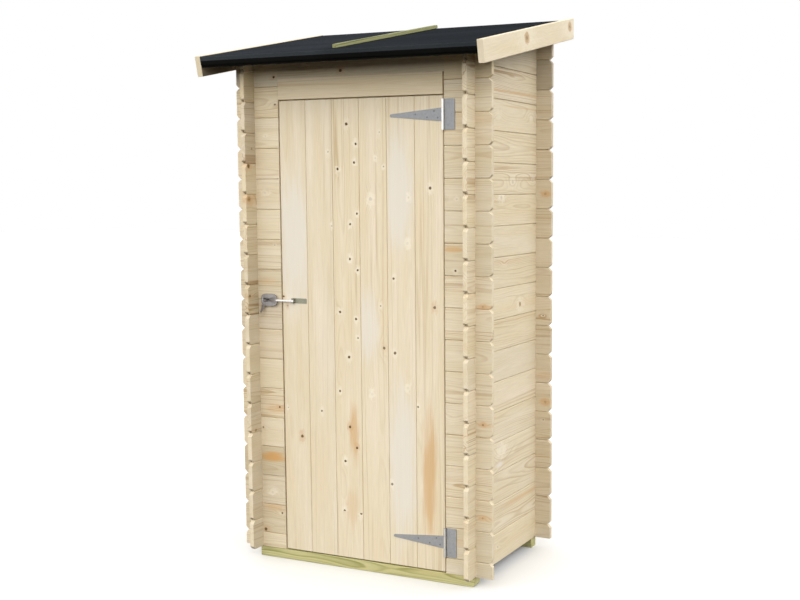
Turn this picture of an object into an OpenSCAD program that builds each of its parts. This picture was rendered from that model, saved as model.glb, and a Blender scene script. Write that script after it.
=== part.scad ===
// Pent garden shed of interlocking horizontal log boards, with a felted roof that rises to the back,
// one ledged door on T-hinges and a hasp. All sizes are in millimetres. X runs along the door side,
// Y runs to the back and Z is up. The origin is on the ground under the middle of the roof.

/* [Walls] */
// Cover height of one wall board
board_cover = 121; // [110:1:130]
// Thickness of the wall boards
wall_t = 19; // [16:1:24]
// Width over the outer faces of the two side walls
wall_w = 997; // [960:1:1300]
// Depth over the outer faces of the front and rear walls
wall_d = 598; // [500:1:900]
// Whole boards above the half board that starts the front wall
front_courses = 16; // [16:1:18]
// How far the crossed log ends stand out past each corner
log_end = 68; // [40:1:80]
// Chamfer on the corners of each log end
log_chamfer = 13; // [4:1:18]

/* [Bearers and floor] */
// Height of the treated bearers
bearer_h = 41; // [30:1:60]
// Width of the treated bearers
bearer_w = 46; // [40:1:80]
// How far the bearers stop short of the outer faces of the side walls
bearer_inset = 6; // [0:1:30]
// Corner cut off under the right end of the front bearer
bearer_corner = 9; // [2:1:25]
// Thickness of the floor boards
floor_t = 18; // [15:1:28]

/* [Doorway] */
// Width of the door leaf
door_w = 729; // [680:1:740]
// Height of the door leaf
door_h = 1814; // [1700:1:1815]
// Thickness of the door boards
door_t = 14; // [12:1:14]
// Distance of the door's middle from the middle of the shed
door_shift = 2; // [0:1:10]
// Gap all round the door leaf
door_gap = 5; // [5:1:8]
// Height of the header board over the door
header_h = 82; // [60:1:90]
// Gap at the right end of the header board
header_gap = 7; // [2:1:12]
// Depth of the batten behind the header
head_batten_d = 22; // [16:1:34]
// How far that batten reaches up behind the board over the header
head_batten_lap = 26; // [10:1:40]
// Width of the posts inside the doorway
post_w = 54; // [40:1:60]
// Depth of the posts inside the doorway
post_d = 34; // [24:1:45]
// How far the posts reach behind the door as stops
stop_lap = 12; // [8:1:16]
// Height of the ledges on the back of the door
ledge_h = 95; // [70:1:120]
// Thickness of the ledges
ledge_t = 18; // [14:1:22]
// How far the ends of the ledges stay clear of the posts
ledge_clear = 8; // [5:1:20]

/* [Roof] */
// Overhang in front of the front wall, measured up the slope
front_overhang = 186; // [120:1:240]
// Overhang behind the rear wall
rear_overhang = 88; // [72:1:140]
// Overhang past each side wall, to the outer face of the barge board
side_overhang = 121; // [60:1:160]
// Thickness of the roof boards
roof_board_t = 23; // [16:1:26]
// Thickness of the roofing felt
felt_t = 3; // [2:0.5:5]
// How far the felt at the front edge hangs below the roof boards
felt_drip = 7; // [3:1:12]
// Height of the barge boards
barge_h = 82; // [70:1:120]
// Thickness of the barge boards
barge_t = 24; // [15:1:28]
// How far the barge boards stand above the felt
barge_lip = 5; // [2:1:12]
// How much lower the top edge of the left barge board lies
left_barge_drop = 3; // [0:1:5]
// Height of the batten under the front edge of the roof
eave_batten_h = 17; // [12:1:30]
// Depth of that batten
eave_batten_d = 30; // [20:1:45]
// Width of the batten that holds the felt down
felt_batten_w = 18; // [15:1:40]
// Height of the batten that holds the felt down
felt_batten_h = 14; // [10:1:25]
// Distance of that batten from the front edge of the roof
felt_batten_start = 56; // [10:1:120]
// Sideways place of that batten
felt_batten_x = -16; // [-40:1:40]

/* [Hinges] */
// Height of the lower hinge above the foot of the wall
low_hinge_z = 122; // [100:1:200]
// Height of the upper hinge above the foot of the wall
high_hinge_z = 1749; // [1600:1:1750]
// Length of the strap on the door
strap_len = 227; // [150:1:260]
// Height of the strap at its wide end
strap_wide = 49; // [30:1:50]
// Height of the strap at its round tip
strap_tip = 11; // [8:1:26]
// Width of the wall plate past the hinge pin
plate_w = 48; // [35:1:60]
// Height of the wall plate
plate_h = 114; // [80:1:130]
// Thickness of the hinge metal
hinge_t = 2.5; // [1.5:0.5:3]
// Radius of the hinge knuckle
knuckle_r = 5.2; // [4.6:0.1:6]
// Radius of the hinge pin
pin_r = 2.5; // [2:0.1:3]

/* [Hasp] */
// Height of the hasp above the foot of the wall
hasp_z = 1029; // [900:1:1200]
// Length of the hasp plate on the door
hasp_plate_w = 58; // [50:1:70]
// Height of the hasp plate on the door
hasp_plate_h = 20; // [18:1:30]
// Distance of the hasp pin from the free edge of the door
hasp_inset = 54; // [45:1:80]
// How far the hasp pin stands out from the wall face
hasp_out = 11; // [10:1:14]
// Radius of the round bar of the hasp
hasp_bar_r = 4.6; // [3.6:0.1:4.6]
// Length of the round bar from the pin to the end plate
hasp_bar_len = 74; // [60:1:80]
// Length of the slotted end plate
hasp_end_w = 76; // [60:1:80]
// Height of the slotted end plate
hasp_end_h = 50; // [36:1:60]
// Length of the finger tab under the end plate
hasp_tab = 28; // [10:1:40]
// How far the staple stands out from the wall face
staple_out = 28; // [22:1:35]

/* [Hidden] */
$fn = 48;
slope = atan(board_cover / (wall_d - wall_t));
out_x = wall_w / 2;
in_x = out_x - wall_t;
felt_top = roof_board_t + felt_t;
barge_top = felt_top + barge_lip;
front_cut = front_overhang * cos(slope) + barge_top * sin(slope);
front_y = (front_cut - wall_d - rear_overhang) / 2;
rear_y = front_y + wall_d;
end_y = rear_y + rear_overhang;
foot_z = bearer_h;
wall_top = foot_z + (front_courses + 0.5) * board_cover;
tall = wall_top + 3 * board_cover;
beyond = 1200;
floor_fit = 2;

open_l = door_shift - door_w / 2 - door_gap;
open_r = door_shift + door_w / 2 + door_gap;
door_l = open_l + door_gap;
door_r = open_r - door_gap;
door_z = foot_z + door_gap;
header_z = door_z + door_h + door_gap;
post_front = front_y + wall_t;

deck_x = out_x + side_overhang - barge_t;
deck_front = felt_t - front_overhang;
deck_rear = (wall_d + rear_overhang) / cos(slope) - felt_t;
flap_step = 5;

hinge_x = door_r + door_gap / 2;
knuckle_clear = 0.3;
hinge_y = front_y - knuckle_r - knuckle_clear;
leaf_start = 3.2;
strap_shoulder = 14;
knuckle_gap = 1;
pin_run = 0.05;
pin_head = 1.5;

hasp_x = door_l + hasp_inset;
hasp_y = front_y - hasp_out;
hasp_mid = foot_z + hasp_z;
hasp_knuckle_r = 4.5;
hasp_pin_r = 2;
hasp_metal = 2.5;
hasp_plate_t = 2;
hasp_leaf_start = 3;
hasp_pin_head = 1;
hasp_corner = 12;
lug_gap = 0.4;
staple_x = hasp_x - hasp_bar_len - 51;
staple_w = 16;
staple_bar = 5;
staple_leg_w = 4;
staple_plate_l = 24;
staple_plate_r = 30;
staple_plate_h = 40;
staple_plate_t = 2;
slot_w = 30;
slot_h = 15;

// Height of the underside of the roof boards over a place y
function roof_z(y) = wall_top + (y - front_y) * tan(slope);

// Points of a notch cut into an upright edge at height z; side is +1 where the wood lies towards +
function notch(edge, side, z) =
    [[edge, z - log_chamfer], [edge + side * log_chamfer, z], [edge, z + log_chamfer]];

// Upright edge with a notch at each of the heights given, from the bottom up
function notched(edge, side, heights) = [for (z = heights) each notch(edge, side, z)];

function flipped(points) = [for (i = [len(points) - 1 : -1 : 0]) points[i]];

// Heights of the seams of a wall whose first board has the height first, up to the height top
function seams(first, top) =
    [for (z = [foot_z + first : board_cover : top - log_chamfer - 1]) z];

// Places its children in the plane of the roof: Y runs up the slope, Z is square to the roof boards
module on_roof() {
    translate([0, front_y, wall_top]) rotate([slope, 0, 0]) children();
}

// Cuts its children off at the underside of the roof boards
module below_roof() {
    difference() {
        children();
        on_roof() box([-beyond, -beyond, 0], [beyond, beyond, beyond]);
    }
}

// Outline in X and Z, extruded from y_from towards the back
module upright_x(y_from, depth, points) {
    translate([0, y_from + depth, 0]) rotate([90, 0, 0]) linear_extrude(depth) polygon(points);
}

// Outline in Y and Z, extruded from x_from to the right
module upright_y(x_from, width, points) {
    translate([x_from, 0, 0]) rotate([90, 0, 90]) linear_extrude(width) polygon(points);
}

// Box between two corners
module box(low, high) {
    translate(low) cube(high - low);
}

// Log ends of a front or rear wall past one side wall; hand is -1 on the left and +1 on the right
module log_ends_x(hand, y_from, top) {
    edge = hand * (out_x + log_end);
    points = concat([[hand * out_x, foot_z], [edge, foot_z]],
                    notched(edge, -hand, seams(board_cover / 2, roof_z(y_from))),
                    [[edge, top], [hand * out_x, top]]);
    below_roof() upright_x(y_from, wall_t, points);
}

module side_wall(x_from) {
    low_y = front_y - log_end;
    high_y = rear_y + log_end;
    low_top = roof_z(low_y);
    high_top = roof_z(high_y);
    points = concat([[low_y + log_chamfer, foot_z], [low_y, foot_z + log_chamfer]],
                    notched(low_y, 1, seams(board_cover, low_top)),
                    [[low_y, low_top], [high_y, high_top]],
                    flipped(notched(high_y, -1, seams(board_cover, high_top))),
                    [[high_y, foot_z + log_chamfer], [high_y - log_chamfer, foot_z]]);
    color("burlywood") upright_y(x_from, wall_t, points);
}

module left_side_wall() {
    side_wall(-out_x);
}

module right_side_wall() {
    side_wall(in_x);
}

module front_wall_left() {
    color("wheat") {
        below_roof() box([-in_x, front_y, foot_z], [open_l, front_y + wall_t, tall]);
        log_ends_x(-1, front_y, tall);
    }
}

module front_wall_right() {
    color("wheat") {
        below_roof() box([open_r, front_y, foot_z], [in_x, front_y + wall_t, tall]);
        log_ends_x(1, front_y, tall);
    }
}

module front_top_board() {
    color("wheat")
        below_roof() box([open_l, front_y, header_z + header_h], [open_r, front_y + wall_t, tall]);
}

module door_header() {
    color("wheat")
        box([open_l, front_y, header_z],
            [open_r - header_gap, front_y + wall_t, header_z + header_h]);
}

module rear_wall() {
    y_from = rear_y - wall_t;
    color("burlywood") {
        below_roof() box([-in_x, y_from, foot_z], [in_x, rear_y, tall]);
        log_ends_x(-1, y_from, tall);
        log_ends_x(1, y_from, tall);
    }
}

module front_bearer() {
    end = out_x - bearer_inset;
    points = [[-end, 0], [end - bearer_corner, 0], [end, bearer_corner], [end, bearer_h],
              [-end, bearer_h]];
    color("darkkhaki") upright_x(front_y, bearer_w, points);
}

module rear_bearer() {
    end = out_x - bearer_inset;
    color("darkkhaki") box([-end, rear_y - bearer_w, 0], [end, rear_y, bearer_h]);
}

module floor_boards() {
    color("tan")
        box([-in_x + floor_fit, post_front + floor_fit, foot_z],
            [in_x - floor_fit, rear_y - wall_t - floor_fit, foot_z + floor_t]);
}

module door_post(x_from) {
    color("wheat")
        below_roof() box([x_from, post_front, foot_z + floor_t],
                         [x_from + post_w, post_front + post_d, tall]);
}

module left_door_post() {
    door_post(open_l + stop_lap - post_w);
}

module right_door_post() {
    door_post(open_r - stop_lap);
}

module head_batten() {
    color("wheat")
        box([open_l + stop_lap, post_front, header_z - stop_lap],
            [open_r - stop_lap, post_front + head_batten_d,
             header_z + header_h + head_batten_lap]);
}

module roof_boards() {
    color("tan") on_roof()
        box([-deck_x, deck_front, 0], [deck_x, deck_rear, roof_board_t]);
}

// Felt over the boards, turned down over both edges and, at the front, over the eave batten
module roof_felt() {
    front = deck_front - felt_t;
    rear = deck_rear + felt_t;
    front_flap = [[front, felt_top], [front, -felt_drip], [front + flap_step, -felt_drip],
                  [front + flap_step, -eave_batten_h], [front + flap_step + felt_t, -eave_batten_h],
                  [front + flap_step + felt_t, 0], [deck_front, 0], [deck_front, roof_board_t]];
    rear_flap = [[deck_rear, roof_board_t], [deck_rear, 0], [rear, 0], [rear, felt_top]];
    color("darkslategray") on_roof()
        upright_y(-deck_x, 2 * deck_x, concat(front_flap, rear_flap));
}

module eave_batten() {
    front = deck_front + flap_step;
    color("tan") on_roof()
        box([-deck_x, front, -eave_batten_h], [deck_x, front + eave_batten_d, 0]);
}

// Corners of a barge board in Y and Z, at a height n square to the roof boards
function barge_front(n) = [front_y - front_overhang * cos(slope) - n * sin(slope),
                           wall_top - front_overhang * sin(slope) + n * cos(slope)];
function barge_rear(n) = [end_y, roof_z(end_y) + n / cos(slope)];

// Barge board with a square cut at the front and a plumb cut at the rear
module barge_board(x_from, top) {
    color("bisque") upright_y(x_from, barge_t,
                              [barge_front(barge_top - barge_h), barge_rear(barge_top - barge_h),
                               barge_rear(top), barge_front(top)]);
}

module left_barge_board() {
    barge_board(-deck_x - barge_t, barge_top - left_barge_drop);
}

module right_barge_board() {
    barge_board(deck_x, barge_top);
}

module roof_batten() {
    color("darkkhaki") on_roof()
        box([felt_batten_x - felt_batten_w / 2, felt_batten_start - front_overhang, felt_top],
            [felt_batten_x + felt_batten_w / 2, deck_rear + felt_t, felt_top + felt_batten_h]);
}

module door_boards() {
    color("moccasin")
        box([door_l, front_y, door_z], [door_r, front_y + door_t, door_z + door_h]);
}

module ledge(z_mid) {
    color("wheat")
        box([door_l + stop_lap + ledge_clear, front_y + door_t, z_mid - ledge_h / 2],
            [door_r - stop_lap - ledge_clear, front_y + door_t + ledge_t, z_mid + ledge_h / 2]);
}

module top_ledge() {
    ledge(foot_z + high_hinge_z - 8);
}

module middle_ledge() {
    ledge(foot_z + (low_hinge_z + high_hinge_z) / 2);
}

module bottom_ledge() {
    ledge(foot_z + low_hinge_z);
}

// Hinge knuckle between two heights, with its bore
module knuckle(low, high, outer, inner) {
    difference() {
        translate([0, 0, low]) cylinder(h = high - low, r = outer);
        translate([0, 0, low - 1]) cylinder(h = high - low + 2, r = inner);
    }
}

// Rectangular plate on the wall with a knuckle above and below the strap's own
module hinge_plate(z_mid) {
    half = plate_h / 2;
    strap_half = strap_wide / 2 + knuckle_gap;
    leaf_y = front_y - hinge_y;
    color("silver") translate([hinge_x, hinge_y, z_mid]) {
        difference() {
            union() {
                box([leaf_start, leaf_y - hinge_t, -half], [plate_w, leaf_y, half]);
                knuckle(strap_half, half, knuckle_r, pin_r);
                knuckle(-half, -strap_half, knuckle_r, pin_r);
            }
            translate([0, 0, -strap_half])
                cylinder(h = 2 * strap_half, r = knuckle_r + knuckle_gap);
        }
    }
}

module top_hinge_plate() {
    hinge_plate(foot_z + high_hinge_z);
}

module bottom_hinge_plate() {
    hinge_plate(foot_z + low_hinge_z);
}

// Tapering strap on the door, with a round tip and its knuckle at the wide end
module hinge_strap(z_mid) {
    leaf_y = front_y - hinge_y;
    tip_x = -strap_len + strap_tip / 2;
    outline = [[-leaf_start, -strap_wide / 2], [-leaf_start, strap_wide / 2],
               [-strap_shoulder, strap_wide / 2], [tip_x, strap_tip / 2],
               [tip_x, -strap_tip / 2], [-strap_shoulder, -strap_wide / 2]];
    color("silver") translate([hinge_x, hinge_y, z_mid]) {
        translate([0, leaf_y, 0]) rotate([90, 0, 0]) linear_extrude(hinge_t) union() {
            polygon(outline);
            translate([tip_x, 0]) circle(d = strap_tip);
        }
        knuckle(-strap_wide / 2, strap_wide / 2, knuckle_r, pin_r + pin_run);
    }
}

module top_hinge_strap() {
    hinge_strap(foot_z + high_hinge_z);
}

module bottom_hinge_strap() {
    hinge_strap(foot_z + low_hinge_z);
}

module hinge_pin(z_mid) {
    color("gainsboro") translate([hinge_x, hinge_y, z_mid - plate_h / 2 - pin_head])
        cylinder(h = plate_h + 2 * pin_head, r = pin_r);
}

module top_hinge_pin() {
    hinge_pin(foot_z + high_hinge_z);
}

module bottom_hinge_pin() {
    hinge_pin(foot_z + low_hinge_z);
}

// Plate on the door whose two lugs carry the hasp pin
module hasp_plate() {
    lug_h = (hasp_plate_h - 2 * hasp_bar_r) / 2 - lug_gap;
    color("darkgray") translate([hasp_x, hasp_y, hasp_mid]) {
        box([hasp_leaf_start, hasp_out - hasp_plate_t, -hasp_plate_h / 2],
            [hasp_leaf_start + hasp_plate_w, hasp_out, hasp_plate_h / 2]);
        for (side = [-1, 1]) {
            z_mid = side * (hasp_plate_h / 2 - lug_h / 2);
            difference() {
                union() {
                    translate([0, 0, z_mid - lug_h / 2]) cylinder(h = lug_h, r = hasp_knuckle_r);
                    box([-hasp_knuckle_r, 0, z_mid - lug_h / 2],
                        [hasp_knuckle_r, hasp_out, z_mid + lug_h / 2]);
                }
                translate([0, 0, z_mid - lug_h]) cylinder(h = 2 * lug_h, r = hasp_pin_r);
            }
        }
    }
}

module hasp_pin() {
    color("gainsboro") translate([hasp_x, hasp_y, hasp_mid - hasp_plate_h / 2 - hasp_pin_head])
        cylinder(h = hasp_plate_h + 2 * hasp_pin_head, r = hasp_pin_r);
}

// Round bar that turns on the pin, with a slotted end plate and a finger tab
module hasp_bar() {
    corner = hasp_corner;
    end_l = -hasp_bar_len - hasp_end_w;
    end_r = -hasp_bar_len;
    half = hasp_end_h / 2;
    slot_x = staple_x - hasp_x;
    outline = [[end_r, -half + corner], [end_r, half - corner / 2], [end_r - corner / 2, half],
               [end_l + corner, half], [end_l, half - corner], [end_l, -half + corner],
               [end_l + 1, -half - hasp_tab], [end_l + 9, -half - hasp_tab],
               [end_l + 17, -half], [end_r - corner, -half]];
    color("darkgray") translate([hasp_x, hasp_y, hasp_mid]) {
        difference() {
            union() {
                rotate([0, -90, 0]) cylinder(h = hasp_bar_len + 4, r = hasp_bar_r);
                translate([0, 0, -hasp_bar_r]) cylinder(h = 2 * hasp_bar_r, r = hasp_knuckle_r);
            }
            translate([0, 0, -hasp_plate_h]) cylinder(h = 2 * hasp_plate_h, r = hasp_pin_r + pin_run);
        }
        translate([0, hasp_metal / 2, 0]) rotate([90, 0, 0]) linear_extrude(hasp_metal)
            difference() {
                polygon(outline);
                translate([slot_x - slot_w / 2, -slot_h / 2]) square([slot_w, slot_h]);
            }
    }
}

// Wall plate with the staple that comes through the slot
module hasp_staple() {
    leg_out = staple_out - staple_bar;
    color("darkgray") translate([staple_x, front_y, hasp_mid]) {
        box([-staple_plate_l, -staple_plate_t, -staple_plate_h / 2],
            [staple_plate_r, 0, staple_plate_h / 2]);
        difference() {
            box([-staple_w / 2, -staple_out, -staple_bar / 2],
                [staple_w / 2, -staple_plate_t / 2, staple_bar / 2]);
            box([-staple_w / 2 + staple_leg_w, -leg_out, -staple_bar],
                [staple_w / 2 - staple_leg_w, -staple_plate_t, staple_bar]);
        }
    }
}

front_bearer();
rear_bearer();
floor_boards();
left_side_wall();
right_side_wall();
front_wall_left();
front_wall_right();
front_top_board();
door_header();
rear_wall();
left_door_post();
right_door_post();
head_batten();
roof_boards();
roof_felt();
eave_batten();
left_barge_board();
right_barge_board();
roof_batten();
top_hinge_plate();
bottom_hinge_plate();
top_hinge_pin();
bottom_hinge_pin();
hasp_staple();
door_boards();
top_ledge();
middle_ledge();
bottom_ledge();
top_hinge_strap();
bottom_hinge_strap();
hasp_plate();
hasp_pin();
hasp_bar();
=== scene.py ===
"""Finish of a pent garden shed: its boards, roof covering and ironmongery, their materials, and the stage.

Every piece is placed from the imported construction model. Boards are straight runs of a section, and carry
their own grain coordinates, so that growth rings, knots and end grain agree on all of their faces.
"""

import math
from types import SimpleNamespace

import bmesh
import bpy
import numpy as np
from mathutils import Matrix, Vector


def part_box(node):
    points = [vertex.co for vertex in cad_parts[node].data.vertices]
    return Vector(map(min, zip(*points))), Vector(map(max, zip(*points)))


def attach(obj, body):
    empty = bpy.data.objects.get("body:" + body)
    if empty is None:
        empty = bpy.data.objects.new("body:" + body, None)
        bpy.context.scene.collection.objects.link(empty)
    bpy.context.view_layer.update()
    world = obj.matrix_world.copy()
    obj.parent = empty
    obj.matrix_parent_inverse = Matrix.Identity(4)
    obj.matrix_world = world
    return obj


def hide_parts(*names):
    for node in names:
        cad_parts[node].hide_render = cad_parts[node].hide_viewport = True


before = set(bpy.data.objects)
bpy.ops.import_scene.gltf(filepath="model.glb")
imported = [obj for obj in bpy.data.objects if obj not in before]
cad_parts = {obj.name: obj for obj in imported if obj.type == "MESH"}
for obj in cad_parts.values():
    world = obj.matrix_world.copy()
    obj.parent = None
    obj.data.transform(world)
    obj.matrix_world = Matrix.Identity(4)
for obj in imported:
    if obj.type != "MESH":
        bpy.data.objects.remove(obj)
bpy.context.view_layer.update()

bl_info = {
    "name": "Pent garden shed",
    "version": (1, 0, 0),
    "blender": (4, 5, 0),
    "location": "View3D > Sidebar > Shed",
    "description": "Builds the finished look of a log-board pent shed around its construction model",
    "category": "Object",
}

X_AXIS = np.array([1.0, 0.0, 0.0])
Y_AXIS = np.array([0.0, 1.0, 0.0])
Z_AXIS = np.array([0.0, 0.0, 1.0])


def box(node):
    """Lowest and highest corner of a construction node, as arrays."""
    low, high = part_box(node)
    return np.array(low), np.array(high)


def faces_of_the_walls():
    """Planes, levels and roof slope of the walls, read off the construction nodes."""
    panel_low, panel_high = box("front_wall_left")
    side_low, side_high = box("right_side_wall")
    shape = SimpleNamespace()
    shape.foot = panel_low[2]
    shape.board_t = panel_high[1] - panel_low[1]
    shape.front = panel_low[1]
    shape.rear = box("rear_wall")[1][1]
    shape.left = box("left_side_wall")[0][0]
    shape.right = side_high[0]
    shape.log_end = box("front_wall_right")[1][0] - side_high[0]
    shape.low_y, shape.high_y = side_low[1], side_high[1]
    shape.open_left, shape.open_right = (corner[0] for corner in box("front_top_board"))
    shape.head_top = box("door_header")[1][2]
    shape.slope = math.atan2(side_high[2] - panel_high[2], side_high[1] - panel_high[1])
    shape.wall_top = panel_high[2] - shape.board_t * math.tan(shape.slope)
    return shape


SHED = faces_of_the_walls()


def roof_height(y):
    """Height of the underside of the roof boards over a place y."""
    return SHED.wall_top + (y - SHED.front) * math.tan(SHED.slope)


UP_SLOPE = np.array([0.0, math.cos(SHED.slope), math.sin(SHED.slope)])
OFF_SLOPE = np.array([0.0, -math.sin(SHED.slope), math.cos(SHED.slope)])
ROOF_ORIGIN = np.array([0.0, SHED.front, SHED.wall_top])


# ---- settings


class ShedTimber(bpy.types.PropertyGroup):
    """Sizes and colours of the boards."""

    cover: bpy.props.FloatProperty(
        name="Board cover", description="Cover height of a wall board",
        default=0.121, min=0.09, max=0.15, unit="LENGTH")
    joint: bpy.props.FloatProperty(
        name="Wall joint", description="Depth of the V joint between two wall boards",
        default=0.0024, min=0.0, max=0.006, unit="LENGTH")
    chamfer: bpy.props.FloatProperty(
        name="Log end chamfer", description="Chamfer on the corners of each log end",
        default=0.013, min=0.0, max=0.02, unit="LENGTH")
    seam: bpy.props.FloatProperty(
        name="Seam", description="Open gap between two wall boards",
        default=0.0006, min=0.0, max=0.002, unit="LENGTH")
    pale: bpy.props.FloatVectorProperty(
        name="Wall timber", description="Early wood of the wall boards",
        default=(0.715, 0.625, 0.462), subtype="COLOR", min=0.0, max=1.0)
    late: bpy.props.FloatVectorProperty(
        name="Late wood", description="Late wood of the wall boards",
        default=(0.50, 0.365, 0.210), subtype="COLOR", min=0.0, max=1.0)
    door_pale: bpy.props.FloatVectorProperty(
        name="Door timber", description="Early wood of the door boards",
        default=(0.775, 0.680, 0.520), subtype="COLOR", min=0.0, max=1.0)
    trim_pale: bpy.props.FloatVectorProperty(
        name="Trim timber", description="Early wood of the barge boards and the header",
        default=(0.755, 0.655, 0.480), subtype="COLOR", min=0.0, max=1.0)
    treated_pale: bpy.props.FloatVectorProperty(
        name="Treated timber", description="Early wood of the bearers and the roof batten",
        default=(0.560, 0.520, 0.260), subtype="COLOR", min=0.0, max=1.0)
    knot: bpy.props.FloatVectorProperty(
        name="Knots", description="Heart of the knots",
        default=(0.110, 0.055, 0.014), subtype="COLOR", min=0.0, max=1.0)


class ShedRoof(bpy.types.PropertyGroup):
    """Sizes and colours of the roof covering."""

    felt: bpy.props.FloatVectorProperty(
        name="Felt", description="Mineral grit of the roofing felt",
        default=(0.0200, 0.0225, 0.0260), subtype="COLOR", min=0.0, max=1.0)
    # Paler colour of the turned-down felt: painted light, as the front edge gets less light than the top.
    flap_painted_light: bpy.props.FloatVectorProperty(
        name="Felt edge", description="Felt that is turned down over the front edge",
        default=(0.031, 0.036, 0.040), subtype="COLOR", min=0.0, max=1.0)
    # Near-black colour of the felt's hem: painted shade for the shadowed underside of the eave.
    hem: bpy.props.FloatVectorProperty(
        name="Felt hem", description="Bare bitumen under the front edge",
        default=(0.006, 0.006, 0.0055), subtype="COLOR", min=0.0, max=1.0)
    fold: bpy.props.FloatProperty(
        name="Fold radius", description="Outer radius of the felt where it turns down",
        default=0.005, min=0.001, max=0.02, unit="LENGTH")
    drip: bpy.props.FloatProperty(
        name="Drip", description="How far the felt hangs below the roof boards at the front",
        default=0.007, min=0.002, max=0.02, unit="LENGTH")
    # Height of the band along the front edge that takes the near-black hem colour: painted shade.
    shade_band: bpy.props.FloatProperty(
        name="Bare band", description="Height of the band of bare bitumen along the felt's front edge",
        default=0.016, min=0.004, max=0.02, unit="LENGTH")
    ripple: bpy.props.FloatProperty(
        name="Ripple", description="Height of the slow waves in the felt",
        default=0.0011, min=0.0, max=0.004, unit="LENGTH")
    deck_boards: bpy.props.IntProperty(
        name="Roof boards", description="Number of boards across the roof",
        default=13, min=6, max=20)


class ShedIronmongery(bpy.types.PropertyGroup):
    """Colours of the hinges, hasp and screws."""

    hinge: bpy.props.FloatVectorProperty(
        name="Hinge zinc", description="Zinc of the hinges",
        default=(0.285, 0.290, 0.300), subtype="COLOR", min=0.0, max=1.0)
    pin: bpy.props.FloatVectorProperty(
        name="Pin zinc", description="Bright zinc of the pins",
        default=(0.93, 0.93, 0.93), subtype="COLOR", min=0.0, max=1.0)
    hasp: bpy.props.FloatVectorProperty(
        name="Hasp zinc", description="Zinc of the hasp and staple",
        default=(0.315, 0.300, 0.300), subtype="COLOR", min=0.0, max=1.0)


class ShedStage(bpy.types.PropertyGroup):
    """Camera, light and floor."""

    eye: bpy.props.FloatVectorProperty(
        name="Camera", description="Place of the camera",
        default=(2.3846, -4.1621, 1.5156), subtype="TRANSLATION", unit="LENGTH")
    down: bpy.props.FloatProperty(
        name="Look down", description="Angle of the view below level",
        default=math.radians(5.935), subtype="ANGLE")
    turn: bpy.props.FloatProperty(
        name="Turn", description="Turn of the view away from straight on",
        default=math.radians(24.448), subtype="ANGLE")
    lens: bpy.props.FloatProperty(
        name="Lens", description="Focal length in millimetres", default=52.79, min=10.0, max=200.0)
    sky: bpy.props.FloatProperty(
        name="Sky", description="Strength of the soft light from all round", default=2.27, min=0.0)
    low: bpy.props.FloatProperty(
        name="Low sky", description="How much brighter the sky is near the horizon", default=1.12, min=0.0)
    floor: bpy.props.FloatProperty(
        name="Floor", description="Paleness of the floor", default=0.90, min=0.0, max=1.0)


# ---- boards


def plank(height, thickness, arris, low=None, high=None):
    """Section of a planed board: a rectangle with its four long edges taken off.

    low and high add the heights at which an end chamfer may break.
    """
    a = arris
    heights = [v for v in (low, high) if v is not None]
    bottom = [(a, 0.0)] + [(v, 0.0) for v in heights] + [(height - a, 0.0)]
    top = [(v, thickness - w) for v, w in bottom[::-1]]
    ring = bottom + [(height, a), (height, thickness - a)] + top + [(0.0, thickness - a), (0.0, a)]
    return SimpleNamespace(ring=np.array(ring), height=height, thickness=thickness,
                           low=low, high=high)


def jointed(height, thickness, face, back):
    """Section of a board with a V joint of size face on its outer side and back on its inner side."""
    ring = [(face, 0.0), (height - face, 0.0), (height, face), (height, thickness - back),
            (height - back, thickness), (back, thickness), (0.0, thickness - back), (0.0, face)]
    return SimpleNamespace(ring=np.array(ring), height=height, thickness=thickness,
                           low=None, high=None)


def slit_board(height, thickness, face, slit, depth, back):
    """Section of a door board: V joints outside and inside, and a narrow open slit behind the outer one."""
    deep = face + depth
    half = [(height - face, 0.0), (height - slit, face), (height - slit, deep), (height, deep),
            (height, thickness - back), (height - back, thickness)]
    ring = half + [(height - v, w) for v, w in half[::-1]]
    return SimpleNamespace(ring=np.array(ring), height=height, thickness=thickness,
                           low=None, high=None)


def log_board(height, thickness, joint, seam, chamfer, groove=True, tongue=True):
    """Section of a wall board: V joints on both faces, a tongue on top and a deeper groove underneath."""
    tongue_h, groove_h, half = 0.0046, 0.0095, 0.0033
    mid, top = thickness / 2, height - seam
    low = [(seam, joint), (seam + joint, 0.0), (chamfer, 0.0)]
    high = [(height - chamfer, 0.0), (top - joint, 0.0), (top, joint)]
    crest = [(top, mid - half), (height + tongue_h, mid - half + 0.0006)] if tongue else []
    slot = [(seam, mid - half), (groove_h, mid - half)] if groove else []
    outer = slot[::-1] + low + high + crest
    ring = outer + [(v, thickness - w) for v, w in outer[::-1]]
    return SimpleNamespace(ring=np.array(ring), height=height, thickness=thickness,
                           low=chamfer, high=height - chamfer)


def end(low=None, high=None, slant_v=0.0, slant_w=0.0, arris=0.0008):
    """How a board ends: low and high are (rise, run) of its corner chamfers, slants tilt the whole cut."""
    return SimpleNamespace(low=low, high=high, slant_v=slant_v, slant_w=slant_w, arris=arris)


SQUARE = end()


def wood(seed, knots=(), patches=(), tone=(0.0, 0.0, 1.0), centre=0.06, depth=(0.02, 0.07)):
    """How one board was cut from its log: where the pith lies, its knots, patches and tone.

    knots are (along, across, radius, darkness, halo) with halo above 0 for a pale surround and below 0
    for an orange one, patches (along, across, half length, half width, strength) with strength above 0
    for resin and below 0 for white sapwood, and tone is (lightness, warmth, ring contrast).
    """
    draw = np.random.default_rng(seed)
    side = 1.0 if draw.random() < 0.5 else -1.0
    pith = (centre + draw.uniform(-0.05, 0.05), side * draw.uniform(*depth))
    return SimpleNamespace(start=draw.uniform(1.0, 40.0), pith=pith, knots=list(knots),
                           patches=list(patches), tone=tone)


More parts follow.
